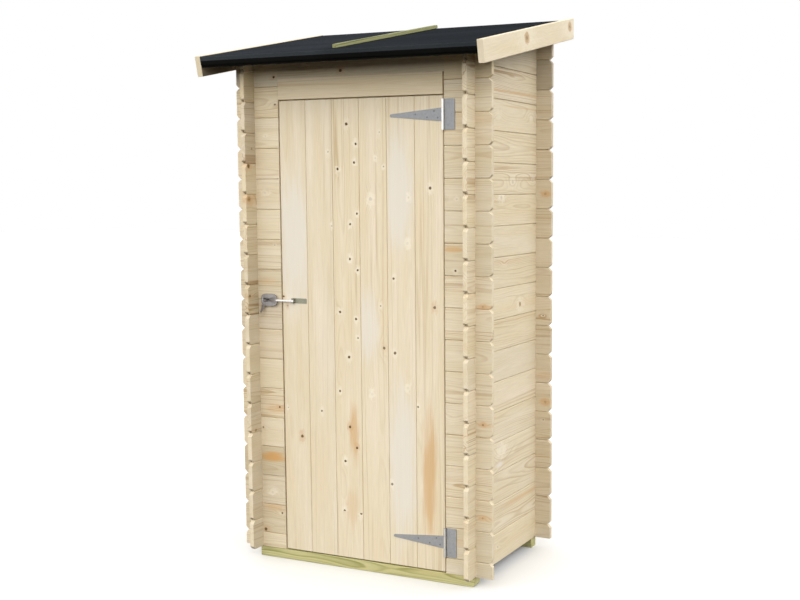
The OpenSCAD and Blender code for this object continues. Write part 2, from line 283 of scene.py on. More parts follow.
def scattered(seed, run, height, per_metre, radius=(0.003, 0.007)):
    """Knots drawn at random along a board, kept apart from one another."""
    draw = np.random.default_rng(seed)
    length = abs(run[1] - run[0])
    count = draw.poisson(per_metre * length)
    places = np.sort(draw.uniform(0.03, length - 0.03, count)) + min(run)
    knots = []
    for place in places:
        if not knots or place - knots[-1][0] > 0.045:
            knots.append((place, draw.uniform(0.12, 0.88) * height, draw.uniform(*radius),
                          draw.uniform(0.35, 1.0), draw.uniform(-0.6, 0.9)))
    return knots


NO_KNOT = (0.0, 0.0, 0.0, 0.0, 0.0)
NO_PATCH = (0.0, 0.0, 1.0, 1.0, 0.0)
LAST_RING = 0.0009  # how far from its end a board's last but one ring lies
END_GRIP = 0.02     # length at each end of a board that holds no further ring


class Lumber:
    """Collects boards into one mesh, with the values that the timber materials read from its faces."""

    def __init__(self):
        self.points = []
        self.grain = []
        self.faces = []
        self.marks = {"knot": [], "patch": [], "tone": [], "halo": []}
        self.total = 0

    def add_faces(self, faces, **marks):
        self.faces += [[int(self.total + i) for i in face] for face in faces]
        for name, value in marks.items():
            self.marks[name] += [value] * len(faces)

    def board(self, place, run, section, timber, ends=(SQUARE, SQUARE), limit=None):
        """Adds one board: its section carried in a straight line from run[0] to run[1].

        A section point (v, w) at the distance u lies at origin + u along + v across + w through.
        An end chamfer pulls u back by run * (1 - distance from the edge / rise). limit(u, w) is
        the height at which a sloping cut takes the top off.
        """
        origin, along, across, through = place
        ring = section.ring
        v, w = ring[:, 0], ring[:, 1]
        stations = self.stations(run, section, timber, limit)
        rows = []
        for number, u in enumerate(stations):
            last = number in (0, len(stations) - 1)
            cut = ends[0] if number < 2 else ends[1] if number > len(stations) - 3 else None
            rows.append(self.ring_at(u, v, w, section, cut, last, number < 2, limit))
        u, v, w = (np.array([row[i] for row in rows]) for i in range(3))
        points = (origin + u[..., None] * along + v[..., None] * across + w[..., None] * through)
        grain = np.stack([u + timber.start, v - timber.pith[0], w - timber.pith[1]], -1)
        flip = np.dot(np.cross(across, through), along) < 0
        self.close(points, grain, stations, section, timber, v, flip)

    def stations(self, run, section, timber, limit):
        """Distances at which a ring is laid: both ends, between knots and patches, and at sloping cuts."""
        first, final = run
        inner = set()
        for marks in (timber.knots, timber.patches):
            middles = sorted(mark[0] for mark in marks)
            inner |= {(a + b) / 2 for a, b in zip(middles, middles[1:])}
        if limit is not None:
            rise = (limit(final, 0.0) - limit(first, 0.0)) / (final - first)
            if abs(rise) > 1e-6:
                levels = set(np.round(section.ring[:, 0], 6))
                inner |= {first + (level - limit(first, 0.0)) / rise for level in levels}
        inner = sorted(u for u in inner if first + END_GRIP < u < final - END_GRIP)
        return [first, first + LAST_RING] + inner + [final - LAST_RING, final]

    def ring_at(self, u, v, w, section, cut, last, start, limit):
        """Ring of points at the distance u, drawn in a little at the very end of the board."""
        if limit is not None:
            v = np.minimum(v, limit(u, w))
        if last and cut is not None and cut.arris:
            a = cut.arris
            v = a + v * (section.height - 2 * a) / section.height
            w = a + w * (section.thickness - 2 * a) / section.thickness
        back = np.zeros_like(v)
        if cut is not None:
            if cut.low:
                back += cut.low[1] * np.clip(1 - v / cut.low[0], 0, None)
            if cut.high:
                over = (v - (section.height - cut.high[0])) / cut.high[0]
                back += cut.high[1] * np.clip(over, 0, None)
            back -= cut.slant_v * v + cut.slant_w * w
        return u + back if start else u - back, v, w

    def close(self, points, grain, stations, section, timber, v, flip):
        """Joins neighbouring rings with faces and closes both ends."""
        count = points.shape[1]
        j = np.arange(count)
        nxt = (j + 1) % count
        knots = np.array(timber.knots or [NO_KNOT])
        patches = np.array(timber.patches or [NO_PATCH])
        for s in range(len(stations) - 1):
            middle = (stations[s] + stations[s + 1]) / 2
            knot = knots[np.argmin(np.abs(knots[:, 0] - middle))]
            patch = patches[np.argmin(np.abs(patches[:, 0] - middle))]
            near = (knot[0] + timber.start, knot[1] - timber.pith[0], knot[2], knot[3])
            spot = (patch[0] + timber.start, patch[1] - timber.pith[0], patch[2], patch[3])
            tone = (*timber.tone, patch[4])
            a, b = s * count + j, s * count + nxt
            c, d = b + count, a + count
            faces = np.stack([a, d, c, b] if flip else [a, b, c, d], -1).tolist()
            if s == 0:
                faces += self.cap(v[0], section, 0, not flip)
            if s == len(stations) - 2:
                faces += self.cap(v[-1], section, (s + 1) * count, flip)
            self.add_faces(faces, knot=near, patch=spot, tone=tone, halo=knot[4])
        self.points.append(points.reshape(-1, 3))
        self.grain.append(grain.reshape(-1, 3))
        self.total += points.shape[0] * count

    def cap(self, v, section, offset, reverse):
        """End faces of a board: one for each flat part of its end."""
        edge = 0.0004
        if v.max() - v.min() < edge:
            return []
        low = section.low if section.low is not None else -1.0
        high = section.high if section.high is not None else v.max() + 1.0
        if v.max() <= high + 3 * edge:
            high = v.max() + 1.0
        groups = [v <= low + edge * 3, (v >= low - edge) & (v <= high + edge), v >= high - edge * 3]
        faces = []
        for group in groups:
            members = (np.nonzero(group)[0] + offset).tolist()
            if len(members) > 2:
                faces.append(members[::-1] if reverse else members)
        return faces

    def paint_light_facing(self, direction, change, right_of=-math.inf):
        """Changes the lightness of the faces that look in a direction; it paints light where change is above
        0 and shade where it is below.
        """
        points = np.concatenate(self.points)
        tones = self.marks["tone"]
        for number, face in enumerate(self.faces):
            a, b, c = points[face[0]], points[face[1]], points[face[2]]
            normal = np.cross(b - a, c - b)
            if a[0] > right_of and normal @ direction > 0.9 * np.linalg.norm(normal):
                tones[number] = (tones[number][0] + change, *tones[number][1:])

    def piece(self, name, nodes, slot, material, body="shell"):
        """Makes the object out of all the boards laid so far."""
        mesh = bpy.data.meshes.new(name)
        mesh.from_pydata(np.concatenate(self.points).tolist(), [], self.faces)
        store(mesh, "grain", "FLOAT_VECTOR", "POINT", np.concatenate(self.grain))
        for title, values in self.marks.items():
            store(mesh, title, "FLOAT" if title == "halo" else "FLOAT_COLOR", "FACE", values)
        tidy_mesh(mesh)
        return settle(name, mesh, nodes, material, body)


def store(mesh, name, kind, domain, values):
    """Writes a named attribute of a mesh."""
    layer = mesh.attributes.new(name, kind, domain)
    key = {"FLOAT_VECTOR": "vector", "FLOAT_COLOR": "color", "FLOAT": "value"}[kind]
    layer.data.foreach_set(key, np.asarray(values, dtype=np.float32).ravel())


def tidy_mesh(mesh):
    """Merges points that coincide and drops faces without area."""
    work = bmesh.new()
    work.from_mesh(mesh)
    bmesh.ops.remove_doubles(work, verts=work.verts, dist=1e-6)
    bmesh.ops.dissolve_degenerate(work, edges=work.edges, dist=1e-6)
    work.to_mesh(mesh)
    work.free()


def settle(name, mesh, nodes, material, body="shell", smooth=False):
    """Links a finished mesh into the scene and ties it to its body and construction nodes."""
    piece = bpy.data.objects.new(name, mesh)
    bpy.context.scene.collection.objects.link(piece)
    mesh.materials.append(material)
    if smooth:
        mesh.shade_smooth()
        mesh.set_sharp_from_angle(angle=math.radians(35))
    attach(piece, body)
    if nodes:
        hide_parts(*nodes)
    return piece


# ---- metal shapes


def put_together(parts):
    """Joins (points, faces) pairs into one pair."""
    points, faces, total = [], [], 0
    for part_points, part_faces in parts:
        points.append(part_points)
        faces += [[int(i) + total for i in face] for face in part_faces]
        total += len(part_points)
    return np.concatenate(points), faces


def bands(count, rings, turned=False):
    """Faces between neighbouring rings of count points each; turned makes them look the other way."""
    j = np.arange(count)
    nxt = (j + 1) % count
    corners = (j, j + count, nxt + count, nxt) if turned else (j, nxt, nxt + count, j + count)
    steps = count * np.arange(rings - 1)
    return (np.stack(corners, -1) + steps[:, None, None]).reshape(-1, 4).tolist()


def closed_bands(count, rings):
    """Faces between rings of count points each, with the last ring joined to the first again."""
    return (np.array(bands(count, rings + 1)) % (count * rings)).tolist()


def skin(count, rings, turned=False):
    """Faces of a closed skin: the bands between its rings and a cap at each end, which come last."""
    j = np.arange(count)
    caps = [j[::-1], j + (rings - 1) * count]
    if turned:
        caps = [cap[::-1] for cap in caps]
    return bands(count, rings, turned) + [cap.tolist() for cap in caps]


def handed(faces, right, up, out):
    """Turns the faces over where right, up and out are left-handed, so that they still face outwards."""
    return [face[::-1] for face in faces] if np.dot(np.cross(right, up), out) < 0 else faces


def stacked(rings, place):
    """Places rings (outline, depth): each point lies at origin + a right + b up + depth * out."""
    origin, right, up, out = place
    return np.concatenate([origin + flat[:, :1] * right + flat[:, 1:] * up + depth * out
                           for flat, depth in rings])


def on_front(x, z, depth=0.0):
    """Place in front of the front wall's outer face, with right, up and out as its axes."""
    return np.array([x, SHED.front - depth, z]), X_AXIS, Z_AXIS, -Y_AXIS


def upright(x, y, z):
    """Place whose out axis points up, for what turns about an upright pin."""
    return np.array([x, y, z]), X_AXIS, Y_AXIS, Z_AXIS


def inset(outline, distance):
    """Moves a counter-clockwise outline inwards by a distance, square to its edges."""
    before = outline - np.roll(outline, 1, axis=0)
    after = np.roll(outline, -1, axis=0) - outline
    before /= np.linalg.norm(before, axis=1)[:, None]
    after /= np.linalg.norm(after, axis=1)[:, None]
    left = np.stack([-before[:, 1] - after[:, 1], before[:, 0] + after[:, 0]], -1)
    grow = 1 + (before * after).sum(1)
    return outline + distance * left / grow[:, None]


def plate(outline, thickness, arris, place):
    """Flat plate: an outline (a, b) carried through its thickness, with its front edge taken off."""
    rings = [(outline, 0.0), (outline, thickness - arris), (inset(outline, arris), thickness)]
    return stacked(rings, place), handed(skin(len(outline), len(rings)), *place[1:])


def lathe(profile, place, steps=24, wobble=None):
    """Surface of revolution: profile points (radius, height) turned about the out axis.

    wobble(angle, radius) may change the radius, as for the recess of a screw.
    """
    origin, right, up, out = place
    profile = np.array(profile)
    angle = np.linspace(0, 2 * math.pi, steps, endpoint=False)
    radius = profile[:, :1] * np.ones(steps)
    if wobble is not None:
        radius = wobble(angle, radius, profile[:, 1:])
    height = profile[:, 1:] * np.ones(steps)
    points = (origin + (radius * np.cos(angle))[..., None] * right
              + (radius * np.sin(angle))[..., None] * up + height[..., None] * out).reshape(-1, 3)
    return points, handed(skin(steps, len(profile)), right, up, out)


def strip_ring(path, thickness):
    """Closed outline of a bent strip: its middle line moved half its thickness to each side."""
    step = np.gradient(path, axis=0)
    step /= np.linalg.norm(step, axis=1)[:, None]
    normal = np.stack([-step[:, 1], step[:, 0]], -1) * thickness / 2
    return np.concatenate([path - normal, (path + normal)[::-1]])


def bent_strip(path, thickness, spans, place):
    """Sheet bent along a path (a, b) and carried along the out axis over each (low, high) span."""
    ring = strip_ring(path, thickness)
    count = len(ring)
    k = np.arange(count // 2 - 1)
    parts = []
    for low, high in spans:
        edge = min(0.0004, (high - low) / 4)
        small = inset(ring, edge * 0.8)
        rings = [(small, low), (ring, low + edge), (ring, high - edge), (small, high)]
        faces = bands(count, len(rings))
        for base, turned in ((0, True), (3 * count, False)):
            quads = np.stack([base + k, base + k + 1, base + count - 2 - k, base + count - 1 - k], -1)
            faces += (quads[:, ::-1] if turned else quads).tolist()
        parts.append((stacked(rings, place), handed(faces, *place[1:])))
    return put_together(parts)


def tube_along(path, radius, steps=14):
    """Round bar: a circle carried along a path in space, with its ends closed by small domes."""
    path = np.array(path, float)
    step = np.gradient(path, axis=0)
    step /= np.linalg.norm(step, axis=1)[:, None]
    side = np.cross(step, Z_AXIS + 0.001 * X_AXIS)
    side /= np.linalg.norm(side, axis=1)[:, None]
    lift = np.cross(side, step)
    radii = np.full(len(path), radius)
    lead = path[:1] - step[:1] * radius * 0.35
    tail = path[-1:] + step[-1:] * radius * 0.35
    path = np.concatenate([lead, path, tail])
    side = np.concatenate([side[:1], side, side[-1:]])
    lift = np.concatenate([lift[:1], lift, lift[-1:]])
    radii = np.concatenate([[radius * 0.6], radii, [radius * 0.6]])
    angle = np.linspace(0, 2 * math.pi, steps, endpoint=False)
    points = (path[:, None] + radii[:, None, None] * (np.cos(angle)[None, :, None] * side[:, None]
              + np.sin(angle)[None, :, None] * lift[:, None])).reshape(-1, 3)
    return points, skin(steps, len(path), turned=True)


def screw(place, radius=0.004):
    """Screw head: a low dome of revolution with a cross recess, whose walls follow cos(2 angle)."""
    def cross(angle, rings, heights):
        inner = rings < radius * 0.5
        star = 0.35 + 0.65 * np.abs(np.cos(2 * angle)) ** 3
        return np.where(inner, rings * star, rings)

    profile = [(radius * 0.16, -0.0009), (radius * 0.42, -0.0002), (radius * 0.46, 0.00075),
               (radius * 0.55, 0.0008), (radius * 0.85, 0.0005), (radius, 0.0001), (radius, -0.0004)]
    return lathe(profile[::-1], place, 24, cross)


def hard_piece(name, parts, nodes, material, body="shell"):
    """Makes one object of several metal shapes."""
    points, faces = put_together(parts)
    mesh = bpy.data.meshes.new(name)
    mesh.from_pydata(points.tolist(), [], faces)
    return settle(name, mesh, nodes, material, body, smooth=True)


# ---- materials


class Graph:
    """Adds nodes to a tree; each method returns the output that the next one needs."""

    def __init__(self, tree):
        self.tree = tree

    def add(self, kind, **settings):
        node = self.tree.nodes.new("ShaderNode" + kind)
        for key, value in settings.items():
            setattr(node, key, value)
        return node

    def plug(self, socket, value):
        if isinstance(value, bpy.types.NodeSocket):
            self.tree.links.new(value, socket)
        elif value is not None:
            if hasattr(socket.default_value, "__len__") and hasattr(value, "__len__"):
                value = tuple(value)[:len(socket.default_value)]
                value += (1.0,) * (len(socket.default_value) - len(value))
            socket.default_value = value

    def feed(self, node, values):
        """Plugs values into the inputs of a node by name."""
        for title, value in values.items():
            self.plug(node.inputs[title], value)

    def maths(self, operation, *values, clamp=False):
        node = self.add("Math", operation=operation, use_clamp=clamp)
        for socket, value in zip(node.inputs, values):
            self.plug(socket, value)
        return node.outputs[0]

    def vector(self, operation, *values):
        node = self.add("VectorMath", operation=operation)
        for socket, value in zip(node.inputs, values):
            self.plug(socket, value)
        return node.outputs["Value" if operation in ("LENGTH", "DISTANCE") else "Vector"]

    def split(self, value):
        node = self.add("SeparateXYZ")
        self.plug(node.inputs[0], value)
        return node.outputs[:]

    def join(self, *values):
        node = self.add("CombineXYZ")
        for socket, value in zip(node.inputs, values):
            self.plug(socket, value)
        return node.outputs[0]

    def noise(self, vector, scale=1.0, detail=2.0, roughness=0.5, colour=False):
        node = self.add("TexNoise")
        self.feed(node, {"Vector": vector, "Scale": scale, "Detail": detail, "Roughness": roughness})
        return node.outputs["Color" if colour else "Fac"]

    def drawn_out(self, grain, along, across, detail=2.0, roughness=0.5, colour=False):
        """Noise whose cells are drawn out along the grain."""
        stretched = self.vector("MULTIPLY", grain, (along, across, across))
        return self.noise(stretched, 1.0, detail, roughness, colour)

    def times(self, *values, clamp=False):
        """Product of any number of values."""
        result = values[0]
        for value in values[1:-1]:
            result = self.maths("MULTIPLY", result, value)
        return self.maths("MULTIPLY", result, values[-1], clamp=clamp)

    def tinted(self, colour, tint):
        """A colour multiplied by a tint, which may be a single value."""
        if isinstance(tint, bpy.types.NodeSocket) and tint.type == "VALUE":
            tint = self.join(tint, tint, tint)
        return self.mix(1.0, colour, tint, "MULTIPLY")

    def relief(self, shader, height, strength, distance):
        """Bumps on a shader."""
        bumps = self.add("Bump")
        self.feed(bumps, {"Strength": strength, "Distance": distance, "Height": height})
        self.plug(shader.inputs["Normal"], bumps.outputs["Normal"])

    def span(self, value, low, high, to_low=0.0, to_high=1.0, smooth=True):
        node = self.add("MapRange", interpolation_type="SMOOTHSTEP" if smooth else "LINEAR")
        for socket, part in zip(node.inputs, (value, low, high, to_low, to_high)):
            self.plug(socket, part)
        return node.outputs[0]

    def mix(self, factor, a, b, blend="MIX"):
        node = self.add("Mix", data_type="RGBA", blend_type=blend)
        self.plug(node.inputs["Factor"], factor)
        self.plug(node.inputs[6], a)
        self.plug(node.inputs[7], b)
        return node.outputs[2]

    def ramp(self, value, stops):
        node = self.add("ValToRGB")
        self.plug(node.inputs[0], value)
        ramp = node.color_ramp
        while len(ramp.elements) < len(stops):
            ramp.elements.new(0.5)
        for element, (place, colour) in zip(ramp.elements, stops):
            element.position = place
            grey = (colour,) * 3 if isinstance(colour, float) else tuple(colour)
            element.color = (*grey, 1.0)
        return node.outputs[0]


def group(name, inputs, outputs):
    """New shader node group with named sockets; returns its graph, its inputs and its output node."""
    tree = bpy.data.node_groups.new(name, "ShaderNodeTree")
    for title, kind in inputs:
        tree.interface.new_socket(title, in_out="INPUT", socket_type="NodeSocket" + kind)
    for title, kind in outputs:
        tree.interface.new_socket(title, in_out="OUTPUT", socket_type="NodeSocket" + kind)
    graph = Graph(tree)
    source = tree.nodes.new("NodeGroupInput")
    drain = tree.nodes.new("NodeGroupOutput")
    return graph, source.outputs, drain.inputs


WHITE = (1.0, 1.0, 1.0)


def knot_frame(graph, given, x, y):
    """Distances from the nearest knot in knot radii, its radius, and 1 where there is a knot at all."""
    knot_x, knot_y, radius = graph.split(given["Knot"])
    safe = graph.maths("MAXIMUM", radius, 0.0005)
    near_x = graph.maths("DIVIDE", graph.maths("SUBTRACT", x, knot_x), safe)
    near_y = graph.maths("DIVIDE", graph.maths("SUBTRACT", y, knot_y), safe)
    return SimpleNamespace(x=near_x, y=near_y, radius=radius,
                           there=graph.maths("GREATER_THAN", radius, 0.0008))


def late_wood(graph, given, y, z, knot):
    """Share of late wood: rings about the wandering pith, pushed aside at the knot, some years paler."""
    grain = given["Grain"]
    wander = graph.drawn_out(grain, 1.3, 5.0, 2.0, 0.45, True)
    wander_y, wander_z, _ = graph.split(graph.vector("SUBTRACT", wander, (0.5, 0.5, 0.5)))
    y_bent = graph.maths("MULTIPLY_ADD", wander_y, 0.055, y)
    z_bent = graph.maths("MULTIPLY_ADD", wander_z, 0.055, z)
    bell_x = graph.maths("POWER", graph.maths("DIVIDE", knot.x, 7.0), 2.0)
    bell_y = graph.maths("POWER", graph.maths("DIVIDE", knot.y, 3.0), 2.0)
    bell = graph.maths("EXPONENT", graph.times(graph.maths("ADD", bell_x, bell_y), -1.0))
    lift = graph.times(bell, graph.times(knot.radius, 1.7))
    distance = graph.maths("ADD", graph.vector("LENGTH", graph.join(0.0, y_bent, z_bent)), lift)
    phase = graph.maths("DIVIDE", distance, given["Ring width"])
    phase = graph.maths("MULTIPLY_ADD", graph.drawn_out(grain, 5.0, 60.0), 0.5, phase)
    late = graph.ramp(graph.maths("FRACT", phase),
                      [(0.0, 0.10), (0.12, 0.0), (0.5, 0.16), (0.84, 1.0), (0.93, 0.9), (1.0, 0.10)])
    year = graph.add("TexWhiteNoise", noise_dimensions="1D")
    graph.plug(year.inputs["W"], graph.maths("FLOOR", phase))
    weight = graph.span(year.outputs["Value"], 0.0, 1.0, 0.2, 1.0, False)
    uneven = graph.drawn_out(grain, 1.1, 11.0)
    return graph.times(late, graph.times(weight, graph.span(uneven, 0.36, 0.62, 0.30, 1.15)))


def streaked(graph, given, colour, contrast):
    """Adds thin brown streaks where a drawn-out noise passes its middle value."""
    grain = given["Grain"]
    lines = graph.drawn_out(grain, 0.5, 38.0, 1.0, 0.4)
    lines = graph.span(graph.maths("ABSOLUTE", graph.maths("SUBTRACT", lines, 0.5)), 0.0, 0.045, 1.0, 0.0)
    places = graph.drawn_out(grain, 0.9, 8.0, 1.0)
    lines = graph.times(lines, graph.span(places, 0.50, 0.64, 0.0, 0.65))
    lines = graph.times(lines, graph.times(contrast, 0.8), clamp=True)
    return graph.mix(lines, colour, graph.tinted(given["Late wood"], (0.84, 0.76, 0.66)))


def toned(graph, colour, lightness, warmth, fibre):
    """Applies a board's own lightness and warmth, and the fine shade of its fibres."""
    shade = graph.span(fibre, 0.25, 0.75, 0.91, 1.08, False)
    colour = graph.tinted(colour, graph.times(shade, graph.maths("ADD", lightness, 1.0)))
    warm = graph.mix(graph.maths("MAXIMUM", warmth, 0.0), WHITE, (1.0, 0.94, 0.80))
    cool = graph.mix(graph.maths("MAXIMUM", graph.times(warmth, -1.0), 0.0), WHITE, (0.94, 0.90, 0.90))
    return graph.tinted(graph.tinted(colour, warm), cool)


def patched(graph, given, colour, x, y):
    """Adds the resin-stained patch, or the patch of white sapwood, with ragged edges."""
    patch_x, patch_y, patch_l = graph.split(given["Patch"])
    far_x = graph.maths("DIVIDE", graph.maths("SUBTRACT", x, patch_x), patch_l)
    far_y = graph.maths("DIVIDE", graph.maths("SUBTRACT", y, patch_y), given["Patch width"])
    ragged = graph.drawn_out(given["Grain"], 7.0, 70.0, 3.0)
    reach = graph.vector("LENGTH", graph.join(far_x, far_y, 0.0))
    reach = graph.maths("ADD", reach, graph.maths("MULTIPLY_ADD", ragged, 1.0, -0.5))
    cover = graph.span(reach, 0.35, 1.15, 1.0, 0.0)
    resin = graph.times(cover, given["Patch strength"], clamp=True)
    white = graph.times(cover, graph.times(given["Patch strength"], -1.0), clamp=True)
    colour = graph.mix(resin, colour, (0.62, 0.36, 0.14))
    return graph.mix(white, colour, (0.765, 0.715, 0.625))


def with_halo(graph, given, colour, knot):
    """Adds the pale or orange surround of the knot, blotchy and longer along the grain."""
    blotch = graph.noise(graph.vector("MULTIPLY", given["Grain"], (75.0, 75.0, 10.0)), 1.0, 2.0)
    off = graph.vector("LENGTH", graph.join(graph.times(knot.x, 0.6), knot.y, 0.0))
    off = graph.maths("ADD", off, graph.maths("MULTIPLY_ADD", blotch, 5.0, -2.5))
    around = graph.times(graph.span(off, 1.0, 3.4, 0.6, 0.0), knot.there)
    pale = graph.times(around, given["Knot halo"], clamp=True)
    orange = graph.times(around, graph.times(given["Knot halo"], -1.0), clamp=True)
    colour = graph.mix(pale, colour, (0.89, 0.82, 0.67))
    return graph.mix(orange, colour, (0.60, 0.36, 0.17))


def with_heart(graph, given, colour, knot):
    """Adds the knot itself: dark when small, orange with a dark pith when large. Also returns its mask."""
    edge = graph.noise(graph.vector("MULTIPLY", given["Grain"], (170.0, 170.0, 20.0)), 1.0, 2.0)
    off = graph.vector("LENGTH", graph.join(knot.x, knot.y, 0.0))
    off = graph.maths("ADD", off, graph.maths("MULTIPLY_ADD", edge, 0.9, -0.45))
    core = graph.times(graph.span(off, 0.75, 1.15, 1.0, 0.0), knot.there)
    orange = graph.mix(graph.span(off, 0.10, 0.45), (0.20, 0.11, 0.035), (0.52, 0.34, 0.155))
    orange = graph.mix(graph.span(off, 0.75, 1.0), orange, (0.56, 0.33, 0.14))
    heart = graph.mix(graph.span(knot.radius, 0.007, 0.013), given["Knot wood"], orange)
    return graph.mix(graph.times(core, given["Knot darkness"]), colour, heart), core


def grain_group():
    """Cut timber: growth rings about a wandering pith, bent round a knot, with fibres and a stained patch.

    Ring distance = length of (Y, Z) of the grain coordinates after a slow noise has moved them, plus a
    bell-shaped bump at the knot. A ring darkens slowly over its width and ends sharply. Brown streaks run
    where another drawn-out noise passes its middle value. A knot is dark inside its radius and has a
    pale surround (halo above 0) or an orange one (halo below 0).
    """
    name = "Timber grain"
    if name in bpy.data.node_groups:
        return bpy.data.node_groups[name]
    graph, given, out = group(
        name,
        [("Grain", "Vector"), ("Knot", "Color"), ("Knot darkness", "Float"), ("Knot halo", "Float"),
         ("Patch", "Color"), ("Patch width", "Float"), ("Tone", "Color"), ("Patch strength", "Float"),
         ("Early wood", "Color"), ("Late wood", "Color"), ("Knot wood", "Color"),
         ("Ring width", "Float"), ("Ring contrast", "Float")],
        [("Color", "Color"), ("Height", "Float"), ("Roughness", "Float")])
    grain = given["Grain"]
    x, y, z = graph.split(grain)
    knot = knot_frame(graph, given, x, y)
    late = late_wood(graph, given, y, z, knot)
    lightness, warmth, contrast = graph.split(given["Tone"])
    amount = graph.times(late, graph.times(given["Ring contrast"], contrast), clamp=True)
    colour = graph.mix(amount, given["Early wood"], given["Late wood"])
    tint = graph.ramp(graph.drawn_out(grain, 1.6, 20.0, 3.0, 0.6),
                      [(0.28, (0.985, 0.935, 0.87)), (0.42, (0.975, 0.97, 0.93)),
                       (0.55, (1.0, 1.0, 1.0)), (0.72, (1.045, 1.055, 1.10))])
    colour = streaked(graph, given, graph.tinted(colour, tint), contrast)
    fibre = graph.drawn_out(grain, 14.0, 620.0, 3.0, 0.6)
    colour = toned(graph, colour, lightness, warmth, fibre)
    colour = patched(graph, given, colour, x, y)
    colour = with_halo(graph, given, colour, knot)
    colour, core = with_heart(graph, given, colour, knot)
    graph.plug(out["Color"], colour)
    height = graph.maths("MULTIPLY_ADD", fibre, 0.5, graph.times(late, 0.5))
    graph.plug(out["Height"], graph.maths("SUBTRACT", height, graph.times(core, 0.4)))
    sheen = graph.maths("MULTIPLY_ADD", late, -0.06, 0.62)
    graph.plug(out["Roughness"], graph.maths("MULTIPLY_ADD", core, -0.18, sheen))
    return bpy.data.node_groups[name]


def saw_group():
    """Marks of a band saw: slightly slanted ridges across the board, broken up by noise."""
    name = "Saw marks"
    if name in bpy.data.node_groups:
        return bpy.data.node_groups[name]
    graph, given, out = group(name, [("Grain", "Vector"), ("Spacing", "Float")], [("Height", "Float")])
    x, y, z = graph.split(given["Grain"])
    lean = graph.maths("MULTIPLY_ADD", graph.maths("ADD", y, z), 0.14, x)
    wave = graph.maths("SINE", graph.times(graph.maths("DIVIDE", lean, given["Spacing"]), 2 * math.pi))
    patchy = graph.drawn_out(given["Grain"], 26.0, 40.0, 3.0)
    fuzz = graph.drawn_out(given["Grain"], 160.0, 900.0)
    ridges = graph.times(wave, graph.span(patchy, 0.35, 0.65, 0.0, 0.5))
    graph.plug(out["Height"], graph.maths("ADD", ridges, fuzz))
    return bpy.data.node_groups[name]


def new_material(name):
    """Empty node material with a Principled BSDF; returns the material, its graph and the shader."""
    material = bpy.data.materials.new(name)
    material.use_nodes = True
    graph = Graph(material.node_tree)
    return material, graph, material.node_tree.nodes["Principled BSDF"]


SAW_PITCH = 0.0055


def timber(name, early, late, knot, ring_width, contrast, sawn=False, bump=0.25):
    """Timber material that reads each board's grain, knot, patch and tone from its mesh."""
    if name in bpy.data.materials:
        return bpy.data.materials[name]
    material, graph, shader = new_material(name)
    node = graph.add("Group", node_tree=grain_group())
    for title, extra in (("Knot", "Knot darkness"), ("Patch", "Patch width"), ("Tone", "Patch strength")):
        values = graph.add("Attribute", attribute_name=title.lower())
        graph.plug(node.inputs[title], values.outputs["Color"])
        graph.plug(node.inputs[extra], values.outputs["Alpha"])
    graph.plug(node.inputs["Knot halo"], graph.add("Attribute", attribute_name="halo").outputs["Fac"])
    grain = graph.add("Attribute", attribute_name="grain").outputs["Vector"]
    graph.feed(node, {"Grain": grain, "Early wood": early, "Late wood": late, "Knot wood": knot,
                      "Ring width": ring_width, "Ring contrast": contrast})
    graph.feed(shader, {"Base Color": node.outputs["Color"], "Roughness": node.outputs["Roughness"],
                        "Specular IOR Level": 0.2})
    relief = node.outputs["Height"]
    if sawn:
        marks = graph.add("Group", node_tree=saw_group())
        graph.feed(marks, {"Grain": grain, "Spacing": SAW_PITCH})
        relief = graph.maths("MULTIPLY_ADD", marks.outputs["Height"], 1.4, relief)
    graph.relief(shader, relief, bump, 0.0006 if sawn else 0.0003)
    return material


def zinc_group():
    """Zinc plating: faint cloudy spangle, fine scratches and darker dull spots."""
    name = "Zinc plating"
    if name in bpy.data.node_groups:
        return bpy.data.node_groups[name]
    graph, given, out = group(name, [("Place", "Vector"), ("Metal", "Color"), ("Dullness", "Float")],
                              [("Color", "Color"), ("Roughness", "Float"), ("Height", "Float")])
    place = given["Place"]
    cloud = graph.noise(place, 95.0, 3.0, 0.6)
    scratch = graph.noise(graph.vector("MULTIPLY", place, (260.0, 260.0, 2400.0)), 1.0, 2.0)
    spots = graph.span(graph.noise(place, 420.0, 2.0), 0.60, 0.72)
    shade = graph.times(graph.span(cloud, 0.3, 0.7, 0.95, 1.05), graph.span(scratch, 0.2, 0.8, 0.97, 1.03))
    colour = graph.tinted(given["Metal"], shade)
    colour = graph.mix(graph.times(spots, given["Dullness"]), colour, (0.16, 0.16, 0.17))
    graph.plug(out["Color"], colour)
    rough = graph.maths("MULTIPLY_ADD", graph.maths("SUBTRACT", 1.0, cloud), 0.25, 0.24)
    graph.plug(out["Roughness"], graph.maths("MULTIPLY_ADD", spots, 0.15, rough))
    graph.plug(out["Height"], graph.maths("MULTIPLY_ADD", scratch, 0.6, cloud))
    return bpy.data.node_groups[name]


def zinc(name, colour, dullness):
    """Zinc-plated steel."""
    if name in bpy.data.materials:
        return bpy.data.materials[name]
    material, graph, shader = new_material(name)
    node = graph.add("Group", node_tree=zinc_group())
    place = graph.add("TexCoord").outputs["Object"]
    graph.feed(node, {"Place": place, "Metal": colour, "Dullness": dullness})
    graph.feed(shader, {"Base Color": node.outputs["Color"], "Roughness": node.outputs["Roughness"],
                        "Metallic": 1.0})
    graph.relief(shader, node.outputs["Height"], 0.15, 0.0001)
    return material


